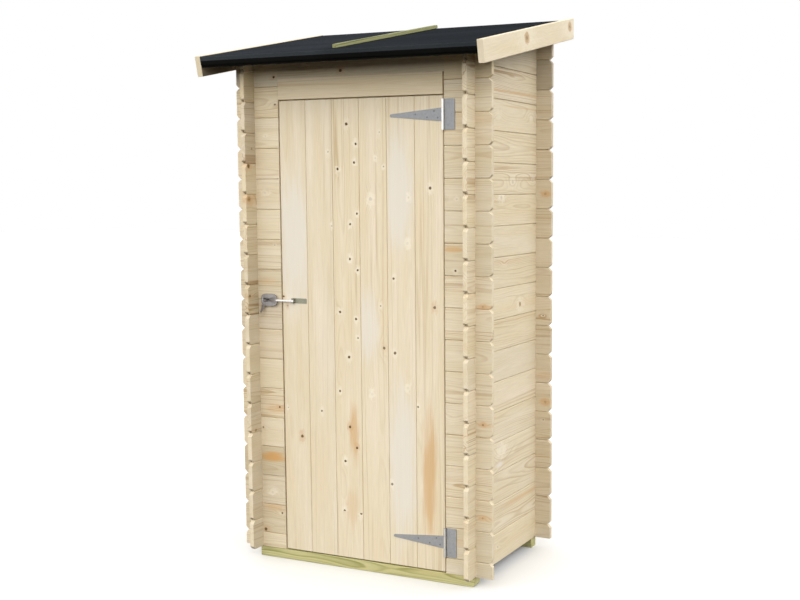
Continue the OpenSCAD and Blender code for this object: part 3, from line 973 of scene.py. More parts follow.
def felt_material(values):
    """Mineral felt: dark bitumen sheet under fine grit, paler where it turns down (painted light) and near
    black at its hem (painted shade).

    The zone of each face is 0 on top, 0.5 on the turned-down edge and 1 on the hem. The left half is a
    little lighter: painted sheen.
    """
    material, graph, shader = new_material("Roofing felt")
    place = graph.add("TexCoord").outputs["Object"]
    grit = graph.noise(place, 1500.0, 2.0, 0.7)
    clumps = graph.noise(place, 240.0, 3.0, 0.6)
    slow = graph.noise(graph.vector("MULTIPLY", place, (2.0, 5.0, 5.0)), 1.0, 4.0, 0.6)
    zone = graph.add("Attribute", attribute_name="zone").outputs["Fac"]
    shade_band = graph.span(zone, 0.55, 0.95)
    # Painted sheen: the felt left of x = -0.1 is made a third lighter.
    painted_light = graph.span(graph.split(place)[0], -0.10, 0.0, 1.32, 1.0)
    shade = graph.times(graph.span(grit, 0.3, 0.75, 0.65, 1.55), graph.span(clumps, 0.3, 0.7, 0.9, 1.1),
                        graph.span(slow, 0.3, 0.7, 0.90, 1.12), painted_light)
    # The turned-down edge takes the paler colour: painted light.
    colour = graph.mix(graph.span(zone, 0.05, 0.45), values.felt, values.flap_painted_light)
    # The hem band takes the near-black colour: painted shade for the soffit in shadow beneath the edge.
    colour = graph.mix(shade_band, colour, values.hem)
    graph.feed(shader, {"Base Color": graph.tinted(colour, shade), "Specular IOR Level": 0.0,
                        "Roughness": graph.span(grit, 0.2, 0.8, 0.92, 0.72)})
    graph.relief(shader, graph.maths("MULTIPLY_ADD", clumps, 0.6, grit), 0.5, 0.0006)
    return material


def sets():
    """The settings of this scene."""
    scene = bpy.context.scene
    return scene.shed_timber, scene.shed_roof, scene.shed_ironmongery, scene.shed_stage


def timbers(kind):
    """One of the shed's timber materials: early and late wood, knots, ring width and contrast, sawing."""
    values = sets()[0]
    pale, late, knot = tuple(values.pale), tuple(values.late), tuple(values.knot)
    door, trim, treated = tuple(values.door_pale), tuple(values.trim_pale), tuple(values.treated_pale)
    kinds = {
        "wall": ("Wall timber", pale, late, knot, 0.0046, 0.62),
        "door": ("Door timber", door, (0.58, 0.455, 0.265), knot, 0.0048, 0.40),
        "trim": ("Trim timber", trim, (0.66, 0.50, 0.30), knot, 0.005, 0.45),
        "rough": ("Rough timber", (0.60, 0.47, 0.31), (0.42, 0.27, 0.14), knot, 0.0046, 0.6, True, 0.5),
        "batten": ("Batten timber", (0.32, 0.325, 0.15), (0.11, 0.12, 0.045), (0.08, 0.08, 0.03),
                   0.0030, 1.0, True, 0.45),
        "treated": ("Treated timber", treated, (0.30, 0.29, 0.10), (0.16, 0.12, 0.04),
                    0.0036, 0.9, True, 0.45),
    }
    return timber(*kinds[kind])


# ---- walls


# For each row of a wall, counted from below: its knots as (along, across, radius) in millimetres with
# darkness and halo, its patches as (along, across, half length, half width) in millimetres with
# strength, and its tone. Along runs from the middle of the shed, or from the front on the side walls.
WALL_KNOTS = {
    "front_left": {
        1: [(-467, 12, 7, 0.9, -0.6), (-384, 89, 4.5, 0.9, 0.4)], 2: [(-430, 50, 6, 0.15, 0.8)],
        4: [(-470, 77, 4, 0.8, -0.2)], 5: [(-386, 46, 4.5, 0.9, -0.6)], 10: [(-395, 100, 3, 0.4, 0.3)],
        12: [(-437, 66, 6, 0.1, 0.7)], 14: [(-430, 50, 3, 0.2, 0.5)], 15: [(-381, 52, 4, 0.9, 0.3)],
        16: [(-385, 38, 5.5, 1.0, -0.5)]},
    "front_right": {
        2: [(527, 53, 4, 0.3, -0.6)], 5: [(402, 58, 9, 0.0, 0.3), (529, 49, 4, 0.6, -0.9)],
        9: [(529, 10, 4, 0.3, -0.8)], 10: [(416, 20, 4.5, 1.0, 0.4)], 12: [(423, 45, 4, 0.2, 0.5)]},
    "right_wall_boards": {
        0: [(199, 64, 4, 0.5, 0.4)], 3: [(235, 80, 12, 0.1, 0.8)], 8: [(415, 43, 10.5, 0.85, 0.6)],
        9: [(260, 90, 6, 0.0, 0.2)], 11: [(233, 110, 9, 0.25, 0.8)],
        12: [(342, 49, 9, 0.25, 0.5), (544, 58, 7, 0.15, 0.5)],
        14: [(207, 63, 8, 0.0, 0.4), (528, 71, 8, 0.0, 0.4)]},
    "left_wall_boards": {
        4: [(-37, 10, 6, 0.6, -0.4)], 8: [(-57, 78, 6, 0.8, -0.4)], 11: [(-49, 102, 11, 1.0, -0.7)],
        12: [(-48, 112, 9, 1.0, -0.7)]},
    "rear": {
        4: [(534, 86, 3, 0.8, 0.3)], 5: [(543, 41, 6, 0.3, -0.7)], 8: [(532, 42, 3, 0.8, 0.3)],
        12: [(540, 62, 6, 0.3, -0.8)]},
}
WALL_PATCHES = {
    "front_left": {
        1: [(-420, 110, 70, 20, 0.40)], 3: [(-425, 80, 75, 24, 1.0)], 5: [(-400, 40, 60, 22, 0.38)],
        9: [(-432, 75, 60, 18, 0.22)]},
    "front_right": {
        1: [(431, 70, 80, 22, 0.24)], 2: [(535, 53, 45, 18, 0.35)], 5: [(535, 49, 45, 14, 0.4)],
        9: [(540, 6, 45, 18, 0.5)], 10: [(411, 100, 60, 14, 0.60)]},
    "right_wall_boards": {
        1: [(420, 93, 220, 12, 0.40)], 3: [(213, 29, 50, 14, -0.8)], 9: [(280, 100, 220, 12, 0.20)],
        14: [(460, 100, 300, 4, 0.4)], 15: [(370, 34, 400, 4.5, 0.6)]},
    "rear": {5: [(545, 41, 30, 20, 0.35)], 6: [(540, 30, 50, 20, 0.25)], 12: [(545, 62, 30, 20, 0.4)]},
}
WALL_TONES = {
    "front_left": {
        0: (0.05, 0.2, 0.9), 1: (-0.09, 0.3, 0.8), 2: (-0.03, -0.3, 0.9), 3: (-0.16, 0.4, 0.9),
        5: (0.02, 0.2, 1.3), 8: (-0.09, -0.3, 1.0), 9: (-0.06, 0.1, 1.0), 10: (0.03, 0.0, 0.9),
        11: (0.05, 0.0, 0.7), 12: (0.04, -0.2, 0.4), 13: (0.07, -0.3, 0.7), 14: (0.06, 0.0, 0.9),
        15: (0.06, 0.3, 1.3), 16: (-0.03, 0.0, 0.6)},
    "front_right": {
        0: (-0.02, 0.0, 0.7), 1: (-0.05, 0.1, 0.8), 3: (0.05, -0.1, 1.4), 5: (0.03, -0.2, 1.1),
        6: (0.03, 0.0, 0.9), 7: (0.02, 0.0, 1.0), 8: (0.03, 0.1, 1.3), 9: (0.04, 0.0, 1.0),
        10: (-0.06, 0.2, 0.8), 11: (-0.01, 0.0, 0.8), 12: (-0.02, 0.1, 0.8), 13: (-0.03, 0.1, 0.8),
        14: (0.02, -0.3, 1.2)},
    "left_wall_boards": {
        0: (0.0, -0.1, 0.8), 1: (-0.03, -0.3, 0.7), 2: (-0.03, -0.3, 0.8), 3: (0.02, -0.1, 0.7),
        4: (-0.08, 0.0, 1.5), 5: (-0.06, 0.1, 1.6), 6: (-0.02, 0.1, 1.0), 7: (-0.05, -0.2, 0.9),
        8: (-0.12, 0.5, 1.8), 9: (-0.09, 0.2, 1.8), 10: (-0.03, 0.3, 1.2), 11: (0.0, 0.3, 1.0),
        12: (0.0, 0.3, 1.2), 13: (-0.07, -0.3, 1.2), 14: (-0.05, -0.3, 1.0)},
    "right_wall_boards": {
        0: (0.0, 0.3, 0.5), 1: (0.0, 0.1, 1.7), 3: (0.02, 0.0, 0.8), 4: (0.0, 0.0, 1.4),
        8: (0.03, 0.1, 0.5), 9: (0.0, 0.1, 1.6), 12: (0.02, 0.1, 1.2), 13: (0.02, 0.1, 0.9),
        # The top row of the right wall is darker: painted shade under the roof's overhang.
        14: (0.02, 0.0, 0.9), 15: (0.0, 0.0, 1.8), 16: (-0.08, 0.1, 0.9)},
    # The top row of the rear wall is much darker: painted shade under the barge board and roof.
    "rear": {16: (-0.24, 0.0, 0.3)},
}


def in_metres(marks, count, origin=0.0):
    """Knots or patches whose first count sizes are in millimetres, moved along by an origin."""
    return [(origin + mark[0] / 1000, *(size / 1000 for size in mark[1:count]), *mark[count:])
            for mark in marks]


def row_wood(wall, row, length_run, seed, per_metre=0.9):
    """Timber of one row of a wall: its drawn tone and knots, or the listed ones of that row."""
    draw = np.random.default_rng(seed)
    tone = (draw.normal(0.0, 0.022), float(np.clip(draw.normal(0.05, 0.3), -0.6, 0.7)),
            draw.uniform(0.3, 1.2))
    cover = sets()[0].cover
    origin = SHED.front if wall.endswith("wall_boards") else 0.0
    knots = in_metres(WALL_KNOTS[wall].get(row, []), 3, origin)
    if row not in WALL_KNOTS[wall] and wall in ("left_wall_boards", "rear"):
        knots = scattered(seed + 7, length_run, cover, per_metre)
    patches = in_metres(WALL_PATCHES.get(wall, {}).get(row, []), 4, origin)
    tone = WALL_TONES.get(wall, {}).get(row, tone)
    # The rear wall's boards are made a little darker: painted shade on its log ends, in the corners behind
    # the side walls.
    if wall == "rear":
        tone = (tone[0] - 0.05, -0.3, tone[2] + 0.6)
    if wall.startswith("front"):
        tone = (tone[0] + 0.02, *tone[1:])
    return wood(seed, knots=knots, patches=patches, tone=tone, centre=cover / 2)


SLIVER = 0.004     # a row lower than this is left out
CUT_SPARE = 0.012  # how much higher a board is before the slope takes its top off


def wall_rows(lumber, place, runs, first, top, limit, seed, wall, notched):
    """Lays a wall's boards from the bearers up.

    runs are the stretches of one row, first is how much of a board the lowest row shows, top(u)
    is the height of the roof over the wall, and notched says which ends of each stretch are
    log ends.
    """
    values = sets()[0]
    cover, joint, seam, chamfer = values.cover, values.joint, values.seam, values.chamfer
    thickness = SHED.board_t
    base = SHED.foot - (cover - first)
    row = 0
    highest = max(top(u) for run in runs for u in run)
    while base + row * cover < highest - SLIVER:
        floor = base + row * cover
        timber_of_row = row_wood(wall, row, (runs[0][0], runs[-1][1]), seed + row)
        for run, marks in zip(runs, notched):
            low_top = min(top(run[0]), top(run[1]))
            if max(top(run[0]), top(run[1])) - floor < SLIVER:
                continue
            whole = low_top - floor >= cover - 1e-4
            lowest = row == 0 and first < cover
            section = log_board(cover, thickness, joint, seam, chamfer,
                                groove=row > 0 and low_top > floor + 0.02, tongue=whole)
            if not whole:
                section.ring[:, 0] = np.where(section.ring[:, 0] > cover / 2,
                                              section.ring[:, 0] + CUT_SPARE, section.ring[:, 0])
                section.high = None
            if lowest:
                cut = cover - first
                section.ring[:, 0] = np.where(section.ring[:, 0] < cover / 2,
                                              cut + section.ring[:, 0] * 0.15, section.ring[:, 0])
                section.low = None
            ends = []
            for is_log in marks:
                low = (chamfer, chamfer) if is_log and not lowest else None
                high = (chamfer, chamfer) if is_log and whole else None
                ends.append(end(low=low, high=high, arris=0.0010 if is_log else 0.0))
            span = clipped_run(run, floor, top)
            shift = place[0] + Z_AXIS * floor
            cap = None if whole else (lambda u, w, z=floor: limit(u, w) - z)
            lumber.board((shift, *place[1:]), span, section, timber_of_row, ends, cap)
        row += 1


def clipped_run(run, floor, top):
    """Part of a run over which the roof is above the foot of the row."""
    low, high = run
    if top(low) < floor < top(high):
        share = (floor - top(low)) / (top(high) - top(low))
        return low + (high - low) * share, high
    return run


END_GRAIN_PAINTED_LIGHT = 0.08    # painted light: how much paler the front-facing ends of the side walls are
STUB_PAINTED_SHADE = -0.075       # painted shade: how much darker the front faces of the front wall's log ends past the right side wall are
LEFT_BARGE_PAINTED_SHADE = -0.8      # inner face of the left barge board, darkened as painted shade under the roof


class SHED_OT_side_walls(bpy.types.Operator):
    """Left and right walls: full boards from the bearers up, cut to the roof slope, with log ends."""

    bl_idname = "shed.side_walls"
    bl_label = "Side walls"

    def execute(self, context):
        cover = sets()[0].cover
        # The last number of each side changes the faces that look towards +X: painted light on the right
        # wall, painted shade on the left wall's log ends in the corner by the front wall.
        for side, outer, inward, seed, tone in (("right", SHED.right, -X_AXIS, 300, 0.03),
                                                ("left", SHED.left, X_AXIS, 400, -0.11)):
            name = f"{side}_wall_boards"
            lumber = Lumber()
            place = (X_AXIS * outer, Y_AXIS, Z_AXIS, inward)
            wall_rows(lumber, place, [(SHED.low_y, SHED.high_y)], cover, roof_height,
                      lambda u, w: roof_height(u), seed, name, [(True, True)])
            # Painted light: the front-facing ends of the side walls are made paler.
            lumber.paint_light_facing(-Y_AXIS, END_GRAIN_PAINTED_LIGHT)
            # Painted light on the right wall's +X faces, painted shade on the left wall's.
            lumber.paint_light_facing(X_AXIS, tone)
            lumber.piece(name, [f"{side}_side_wall"], "wall_timber", timbers("wall"))
        return {"FINISHED"}


class SHED_OT_front_wall(bpy.types.Operator):
    """Front wall: boards beside the doorway, their log ends past the side walls, and the board over it."""

    bl_idname = "shed.front_wall"
    bl_label = "Front wall"

    def execute(self, context):
        cover = sets()[0].cover
        thickness = SHED.board_t
        tilt = math.tan(SHED.slope)
        place = (Y_AXIS * SHED.front, X_AXIS, Z_AXIS, Y_AXIS)
        inner_l, inner_r = SHED.left + thickness, SHED.right - thickness

        def top(u):
            return SHED.wall_top

        def limit(u, w):
            return SHED.wall_top + tilt * w

        left = Lumber()
        wall_rows(left, place, [(SHED.left - SHED.log_end, SHED.left), (inner_l, SHED.open_left)],
                  cover / 2, top, limit, 100, "front_left", [(True, False), (False, False)])
        left.piece("front_boards_left", ["front_wall_left"], "wall_timber", timbers("wall"))
        right = Lumber()
        wall_rows(right, place, [(SHED.open_right, inner_r), (SHED.right, SHED.right + SHED.log_end)],
                  cover / 2, top, limit, 200, "front_right", [(False, False), (False, True)])
        # Painted shade on the front faces of the log ends past the right side wall, beside the side wall's
        # log end.
        right.paint_light_facing(-Y_AXIS, STUB_PAINTED_SHADE, right_of=SHED.right)
        right.piece("front_boards_right", ["front_wall_right"], "wall_timber", timbers("wall"))
        over = Lumber()
        floor = SHED.head_top
        section = plank(SHED.wall_top - floor + CUT_SPARE, thickness, arris=0.0012)
        over.board((place[0] + Z_AXIS * floor, *place[1:]), (SHED.open_left, SHED.open_right), section,
                   wood(151, knots=[(-0.076, 0.021, 0.0065, 1.0, -0.5)], tone=(-0.01, 0.15, 0.9),
                        centre=0.05),
                   (end(arris=0.0), end(arris=0.0)), lambda u, w: limit(u, w) - floor)
        over.piece("front_board_over_door", ["front_top_board"], "wall_timber", timbers("wall"))
        return {"FINISHED"}


class SHED_OT_rear_wall(bpy.types.Operator):
    """Rear wall: boards between the side walls and their log ends on both sides."""

    bl_idname = "shed.rear_wall"
    bl_label = "Rear wall"

    def execute(self, context):
        cover = sets()[0].cover
        thickness = SHED.board_t
        tilt = math.tan(SHED.slope)
        place = (Y_AXIS * SHED.rear, X_AXIS, Z_AXIS, -Y_AXIS)
        inner_top = roof_height(SHED.rear - thickness)
        runs = [(SHED.left - SHED.log_end, SHED.left), (SHED.left + thickness, SHED.right - thickness),
                (SHED.right, SHED.right + SHED.log_end)]
        lumber = Lumber()
        wall_rows(lumber, place, runs, cover / 2, lambda u: inner_top,
                  lambda u, w: inner_top + tilt * (thickness - w), 500, "rear",
                  [(True, False), (False, False), (False, True)])
        lumber.piece("rear_wall_boards", ["rear_wall"], "wall_timber", timbers("wall"))
        return {"FINISHED"}


# ---- base and door frame


def laid_plank(lumber, node, arris, timber_of_board, ends=(SQUARE, SQUARE), low=None):
    """Lays one planed board along the X axis so that it fills the box of a construction node."""
    low_corner, high_corner = box(node)
    size = high_corner - low_corner
    place = (low_corner - X_AXIS * low_corner[0], X_AXIS, Z_AXIS, Y_AXIS)
    lumber.board(place, (low_corner[0], high_corner[0]), plank(size[2], size[1], arris, low=low),
                 timber_of_board, ends)


BEARER_CORNER = 0.009  # lower right corner of the front bearer, sawn off
FLOOR_BOARDS = 10


class SHED_OT_base(bpy.types.Operator):
    """Treated bearers and the boarded floor between the walls."""

    bl_idname = "shed.base"
    bl_label = "Bearers and floor"

    def execute(self, context):
        for node, seed, corner in (("front_bearer", 21, True), ("rear_bearer", 22, False)):
            lumber = Lumber()
            cut = end(low=(BEARER_CORNER, BEARER_CORNER)) if corner else SQUARE
            laid_plank(lumber, node, 0.0022, wood(seed, tone=(0.03, 0.15, 3.2), centre=0.02),
                       (SQUARE, cut), low=BEARER_CORNER if corner else None)
            lumber.piece(f"{node}_timber", [node], "treated_timber", timbers("treated"))
        low, high = box("floor_boards")
        width = (high[0] - low[0]) / FLOOR_BOARDS
        run = (low[1], high[1])
        lumber = Lumber()
        place = (X_AXIS * low[0] + Z_AXIS * high[2], Y_AXIS, X_AXIS, -Z_AXIS)
        for number in range(FLOOR_BOARDS):
            seed = 40 + number
            shift = (place[0] + X_AXIS * width * number, *place[1:])
            knots = scattered(seed, run, width, 2.0)
            lumber.board(shift, run, jointed(width, high[2] - low[2], face=0.0016, back=0.0008),
                         wood(seed, knots=knots, tone=(0.0, 0.2, 1.3), centre=width / 2))
        lumber.piece("floor_boarding", ["floor_boards"], "rough_timber", timbers("rough"))
        return {"FINISHED"}


class SHED_OT_door_frame(bpy.types.Operator):
    """Posts inside the doorway, the batten behind the header, and the header board."""

    bl_idname = "shed.door_frame"
    bl_label = "Door frame"

    def execute(self, context):
        tilt = math.tan(SHED.slope)
        for side, seed in (("left", 61), ("right", 62)):
            node = f"{side}_door_post"
            low, high = box(node)
            depth = high[1] - low[1]
            lumber = Lumber()
            section = plank(high[0] - low[0], depth, arris=0.0018)
            knots = scattered(seed, (low[2], high[2]), high[0] - low[0], 1.6)
            foot_of_cut = high[2] - depth * tilt
            lumber.board((X_AXIS * low[0] + Y_AXIS * low[1], Z_AXIS, X_AXIS, Y_AXIS),
                         (low[2], foot_of_cut), section,
                         wood(seed, knots=knots, tone=(0.0, 0.2, 1.2), centre=0.027),
                         (SQUARE, end(slant_w=tilt)))
            lumber.piece(f"{side}_post_timber", [node], "wall_timber", timbers("wall"))
        lumber = Lumber()
        laid_plank(lumber, "head_batten", 0.0016, wood(63, tone=(-0.15, 0.3, 1.2)))
        lumber.piece("head_batten_timber", ["head_batten"], "wall_timber", timbers("wall"))
        lumber = Lumber()
        laid_plank(lumber, "door_header", 0.0014, wood(64, tone=(0.05, 0.3, 0.9), centre=0.04))
        lumber.piece("header_board", ["door_header"], "trim_timber", timbers("trim"))
        return {"FINISHED"}


# ---- door


# The same for each door board, counted from the left; along runs up from the foot of the walls.
DOOR_KNOTS = {
    0: [(480, 83, 6.5, 0.9, -0.7), (593, 18, 3, 0.5, 0.8), (1044, 6, 4.2, 1.0, -0.4),
        (1008, 24, 4, 0.40, -0.6)],
    1: [(591, 57, 4.5, 0.8, 0.6), (1330, 116, 4, 0.35, 0.9), (1618, 104, 4, 0.35, 0.8)],
    2: [(194, 36, 5.5, 1.0, 0.8), (192, 113, 6, 0.9, 0.8), (397, 43, 5.2, 1.0, 0.9),
        (455, 97, 5.2, 1.0, -0.7), (537, 66, 5.6, 1.0, -0.8), (678, 22, 4.8, 0.9, 0.7),
        (816, 66, 5.8, 1.0, 0.6), (894, 108, 4, 0.7, 0.8), (968, 100, 5.2, 1.0, 0.8),
        (993, 27, 5.2, 1.0, 0.7), (1160, 110, 4.6, 1.0, 0.9), (1202, 76, 5, 1.0, 0.9),
        (1338, 79, 4.6, 1.0, 0.9), (1379, 110, 4.6, 1.0, 0.9), (1551, 25, 5.2, 1.0, 0.9),
        (1575, 100, 5, 1.0, 0.9), (1646, 108, 5, 1.0, 0.9), (1723, 67, 6.2, 1.0, 0.5)],
    3: [(676, 48, 6, 0.1, 0.9), (861, 104, 6, 0.8, -0.3), (1024, 90, 3.5, 0.6, 0.6),
        (1436, 50, 7.5, 0.2, 0.9), (1559, 109, 3.5, 0.5, 0.9), (1591, 73, 4, 0.15, 0.9),
        (1689, 92, 3.5, 0.3, 0.7)],
    4: [(326, 12, 5.5, 0.8, 0.7), (711, 86, 6, 0.1, 0.8), (844, 30, 6, 0.9, 0.5), (1132, 27, 4.8, 0.9, 0.7),
        (1268, 89, 6, 0.1, 0.9), (1442, 95, 4.5, 0.15, 0.9)],
    5: [(641, 8, 4.5, 0.8, 0.8), (1028, 82, 6, 0.8, -0.6), (1477, 66, 6, 0.95, 0.8)],
}
DOOR_PATCHES = {
    0: [(1270, 60, 340, 85, -0.8)], 1: [(900, 90, 300, 40, -0.15)],
    2: [(520, 85, 150, 22, 0.60), (215, 75, 90, 35, 0.28)], 3: [(940, 30, 170, 55, -0.7)],
    4: [(420, 60, 360, 80, -0.8), (1470, 50, 280, 80, -0.8)], 5: [(370, 56, 290, 36, 0.68)],
}
DOOR_TONES = [(-0.02, 0.25, 0.5), (-0.01, 0.15, 0.55), (0.0, 0.3, 1.1), (0.01, 0.2, 0.8),
              (0.01, 0.15, 0.6), (0.01, 0.2, 0.7)]


class SHED_OT_door(bpy.types.Operator):
    """Door leaf: six upright boards with V joints, three ledges and the screws that hold them."""

    bl_idname = "shed.door"
    bl_label = "Door"

    def execute(self, context):
        low, high = box("door_boards")
        count = len(DOOR_TONES)
        width = (high[0] - low[0]) / count
        lumber = Lumber()
        for number in range(count):
            place = (np.array([low[0] + width * number, low[1], 0.0]), Z_AXIS, X_AXIS, Y_AXIS)
            knots = in_metres(DOOR_KNOTS[number], 3, SHED.foot)
            patches = in_metres(DOOR_PATCHES[number], 4, SHED.foot)
            section = slit_board(width, high[1] - low[1], face=0.0022, slit=0.0005,
                                 depth=0.005, back=0.0008)
            lumber.board(place, (low[2], high[2]), section,
                         wood(700 + number, knots, patches, DOOR_TONES[number], width / 2))
        lumber.piece("door_leaf_boards", ["door_boards"], "door_timber", timbers("door"), "door")
        screws = []
        for level, seed in (("top", 71), ("middle", 72), ("bottom", 73)):
            node = f"{level}_ledge"
            ledge_low, ledge_high = box(node)
            lumber = Lumber()
            knots = scattered(seed, (ledge_low[0], ledge_high[0]), ledge_high[2] - ledge_low[2], 2.0)
            laid_plank(lumber, node, 0.003, wood(seed, knots=knots, tone=(0.0, 0.2, 1.2)))
            lumber.piece(f"{node}_timber", [node], "door_timber", timbers("door"), "door")
            for number in range(count):
                x = low[0] + width * (number + 0.5)
                x = min(max(x, ledge_low[0] + 0.02), ledge_high[0] - 0.02)
                for share in (0.25, 0.75):
                    z = ledge_low[2] + (ledge_high[2] - ledge_low[2]) * share
                    screws.append(screw((np.array([x, ledge_high[1], z]), X_AXIS, Z_AXIS, Y_AXIS)))
        metal = zinc("Screw zinc", (0.5, 0.47, 0.38), 0.4)
        hard_piece("ledge_screws", screws, [], metal, "door")
        return {"FINISHED"}


# ---- roof


def on_slope(corner):
    """Coordinates (s, n) of a place in the roof's plane: up the slope from the wall face, off the boards."""
    offset = corner - ROOF_ORIGIN
    return float(offset @ UP_SLOPE), float(offset @ OFF_SLOPE)


def tilted(node):
    """Length, thickness and lower front corner (start, base) of a box that lies in the roof's plane.

    A length l and a thickness t measure l cos + t sin along Y by l sin + t cos along Z.
    """
    low, high = box(node)
    cos, sin = math.cos(SHED.slope), math.sin(SHED.slope)
    run, rise = high[1] - low[1], high[2] - low[2]
    length = (run * cos - rise * sin) / (cos * cos - sin * sin)
    thick = (rise - length * sin) / cos
    start, base = on_slope(np.array([0.0, low[1] + thick * sin, low[2]]))
    return SimpleNamespace(start=start, base=base, length=length, thick=thick, left=low[0], right=high[0])


HEM = 3         # edges of the felt's outline from the lip to the top of its band of painted shade
FOLD_STEPS = 7  # points round each fold of the felt


class SHED_OT_roof(bpy.types.Operator):
    """Roof: boards running up the slope, felt turned down over their edges, battens and barge boards."""

    bl_idname = "shed.roof"
    bl_label = "Roof"

    def execute(self, context):
        self.deck()
        self.felt()
        self.battens()
        self.barge_boards()
        return {"FINISHED"}

    def deck(self):
        count = sets()[1].deck_boards
        deck = tilted("roof_boards")
        width = (deck.right - deck.left) / count
        run = (deck.start, deck.start + deck.length)
        lumber = Lumber()
        for number in range(count):
            seed = 820 + number
            place = (ROOF_ORIGIN + X_AXIS * (deck.left + width * number), UP_SLOPE, X_AXIS, OFF_SLOPE)
            knots = scattered(seed, run, width, 2.0)
            # The roof boards are made nearly black: painted shade for the dark underside of the roof.
            lumber.board(place, run, jointed(width, deck.thick, face=0.002, back=0.0006),
                         wood(seed, knots=knots, tone=(-0.80, 0.25, 1.2), centre=width / 2))
        lumber.piece("roof_deck_boards", ["roof_boards"], "rough_timber", timbers("rough"))

    def felt(self):
        values = sets()[1]
        low, high = box("roof_felt")
        deck, eave = tilted("roof_boards"), tilted("eave_batten")
        sin, cos = math.sin(SHED.slope), math.cos(SHED.slope)
        rear = (high[1] - SHED.front) / cos
        top = (high[2] - SHED.wall_top - rear * sin) / cos
        front = (low[1] - SHED.front + top * sin) / cos
        thick = top - deck.thick
        sizes = (front, rear, top, eave.start - thick, eave.base, values)
        outer, inner = self.felt_line(*sizes, 0.0), self.felt_line(*sizes, thick)
        ring = np.concatenate([outer, inner[::-1]])
        across = np.linspace(low[0], high[0], 97)
        wave = self.wave(across, ring, len(outer), values.ripple)
        s = ring[None, :, 0] + 0 * wave
        n = ring[None, :, 1] - wave
        points = (ROOF_ORIGIN + across[:, None, None] * X_AXIS + s[..., None] * UP_SLOPE
                  + n[..., None] * OFF_SLOPE)
        count, half = len(ring), len(outer)
        faces = bands(count, len(across), turned=True)
        k = np.arange(half - 1)
        first = np.stack([k, k + 1, count - 2 - k, count - 1 - k], -1)
        faces += first.tolist()
        faces += (first[:, ::-1] + (len(across) - 1) * count).tolist()
        # Zone 1 marks the hem, painted near black as shade; 0.5 the turned-down edge, painted paler as light;
        # 0 the top.
        zone = np.ones(count)
        zone[HEM:half - 1] = 0.0
        zone[HEM] = 0.5
        zone[HEM + 1:HEM + FOLD_STEPS] = np.linspace(0.5, 0.0, FOLD_STEPS - 1)
        zones = np.concatenate([np.tile(zone, len(across) - 1), np.tile(zone[:half - 1], 2)])
        mesh = bpy.data.meshes.new("roof_felt_sheet")
        mesh.from_pydata(points.reshape(-1, 3).tolist(), [], faces)
        store(mesh, "zone", "FLOAT", "FACE", zones)
        settle("roof_felt_sheet", mesh, ["roof_felt"], felt_material(values), smooth=True)

    def felt_line(self, front, rear, top, lip, foot, values, depth):
        """Path (s, n) of the felt's outer or inner side, from the foot of the eave batten to the rear."""
        turn = np.linspace(0, math.pi / 2, FOLD_STEPS)
        fold = values.fold
        radius = fold - depth
        front_fold = np.stack([front + fold - radius * np.cos(turn),
                               top - fold + radius * np.sin(turn)], -1)
        rear_fold = np.stack([rear - fold + radius * np.sin(turn),
                              top - fold + radius * np.cos(turn)], -1)
        flat = np.linspace(front + fold, rear - fold, 42)[1:-1]
        body = np.stack([flat, np.full_like(flat, top - depth)], -1)
        under = -values.drip if depth == 0.0 else 0.0
        hem = [(lip + depth, foot), (lip + depth, under), (front + depth, under),
               (front + depth, values.shade_band - values.drip)]
        return np.concatenate([hem, front_fold, body, rear_fold, [(rear - depth, 0.0)]])

    def wave(self, across, ring, outer, height):
        """Slow hollows of the top side: a sum of sines in both directions, never above the sheet."""
        x, s = across[:, None], ring[None, :, 0]
        waves = (np.sin(7.1 * x + 2.3 * s) + np.sin(4.3 * s - 11.7 * x + 1.2)
                 + 0.6 * np.sin(19.0 * x + 6.0 * s)) / 2.6
        top_side = np.arange(ring.shape[0]) < outer
        on_top = ring[:, 1] > ring[:, 1].max() - 0.0002
        return height * (0.5 + 0.5 * waves) * (top_side & on_top)[None, :]

    def battens(self):
        batten = tilted("roof_batten")
        lumber = Lumber()
        place = (ROOF_ORIGIN + X_AXIS * batten.left + OFF_SLOPE * batten.base, UP_SLOPE, X_AXIS, OFF_SLOPE)
        lumber.board(place, (batten.start, batten.start + batten.length),
                     plank(batten.right - batten.left, batten.thick, arris=0.0012),
                     wood(91, tone=(0.0, 0.0, 1.4), centre=0.01))
        lumber.piece("felt_batten_timber", ["roof_batten"], "treated_timber", timbers("batten"))
        eave = tilted("eave_batten")
        lumber = Lumber()
        place = (ROOF_ORIGIN + UP_SLOPE * eave.start + OFF_SLOPE * eave.base, X_AXIS, UP_SLOPE, OFF_SLOPE)
        # The eave batten is made nearly black: painted shade under the front edge of the roof.
        lumber.board(place, (eave.left, eave.right), plank(eave.length, eave.thick, arris=0.001),
                     wood(92, tone=(-0.85, 0.2, 1.0)))
        lumber.piece("eave_batten_timber", ["eave_batten"], "rough_timber", timbers("rough"))

    def barge_boards(self):
        cos, sin, tan = math.cos(SHED.slope), math.sin(SHED.slope), math.tan(SHED.slope)
        for side, seed, knots in (
                ("right", 95, [(0.203, 0.050, 0.023, 0.9, 0.5), (0.655, 0.052, 0.021, 0.85, 0.5)]),
                ("left", 96, [(0.30, 0.03, 0.008, 0.6, -0.4)])):
            node = f"{side}_barge_board"
            low, high = box(node)
            run, rise = high[1] - low[1], high[2] - low[2]
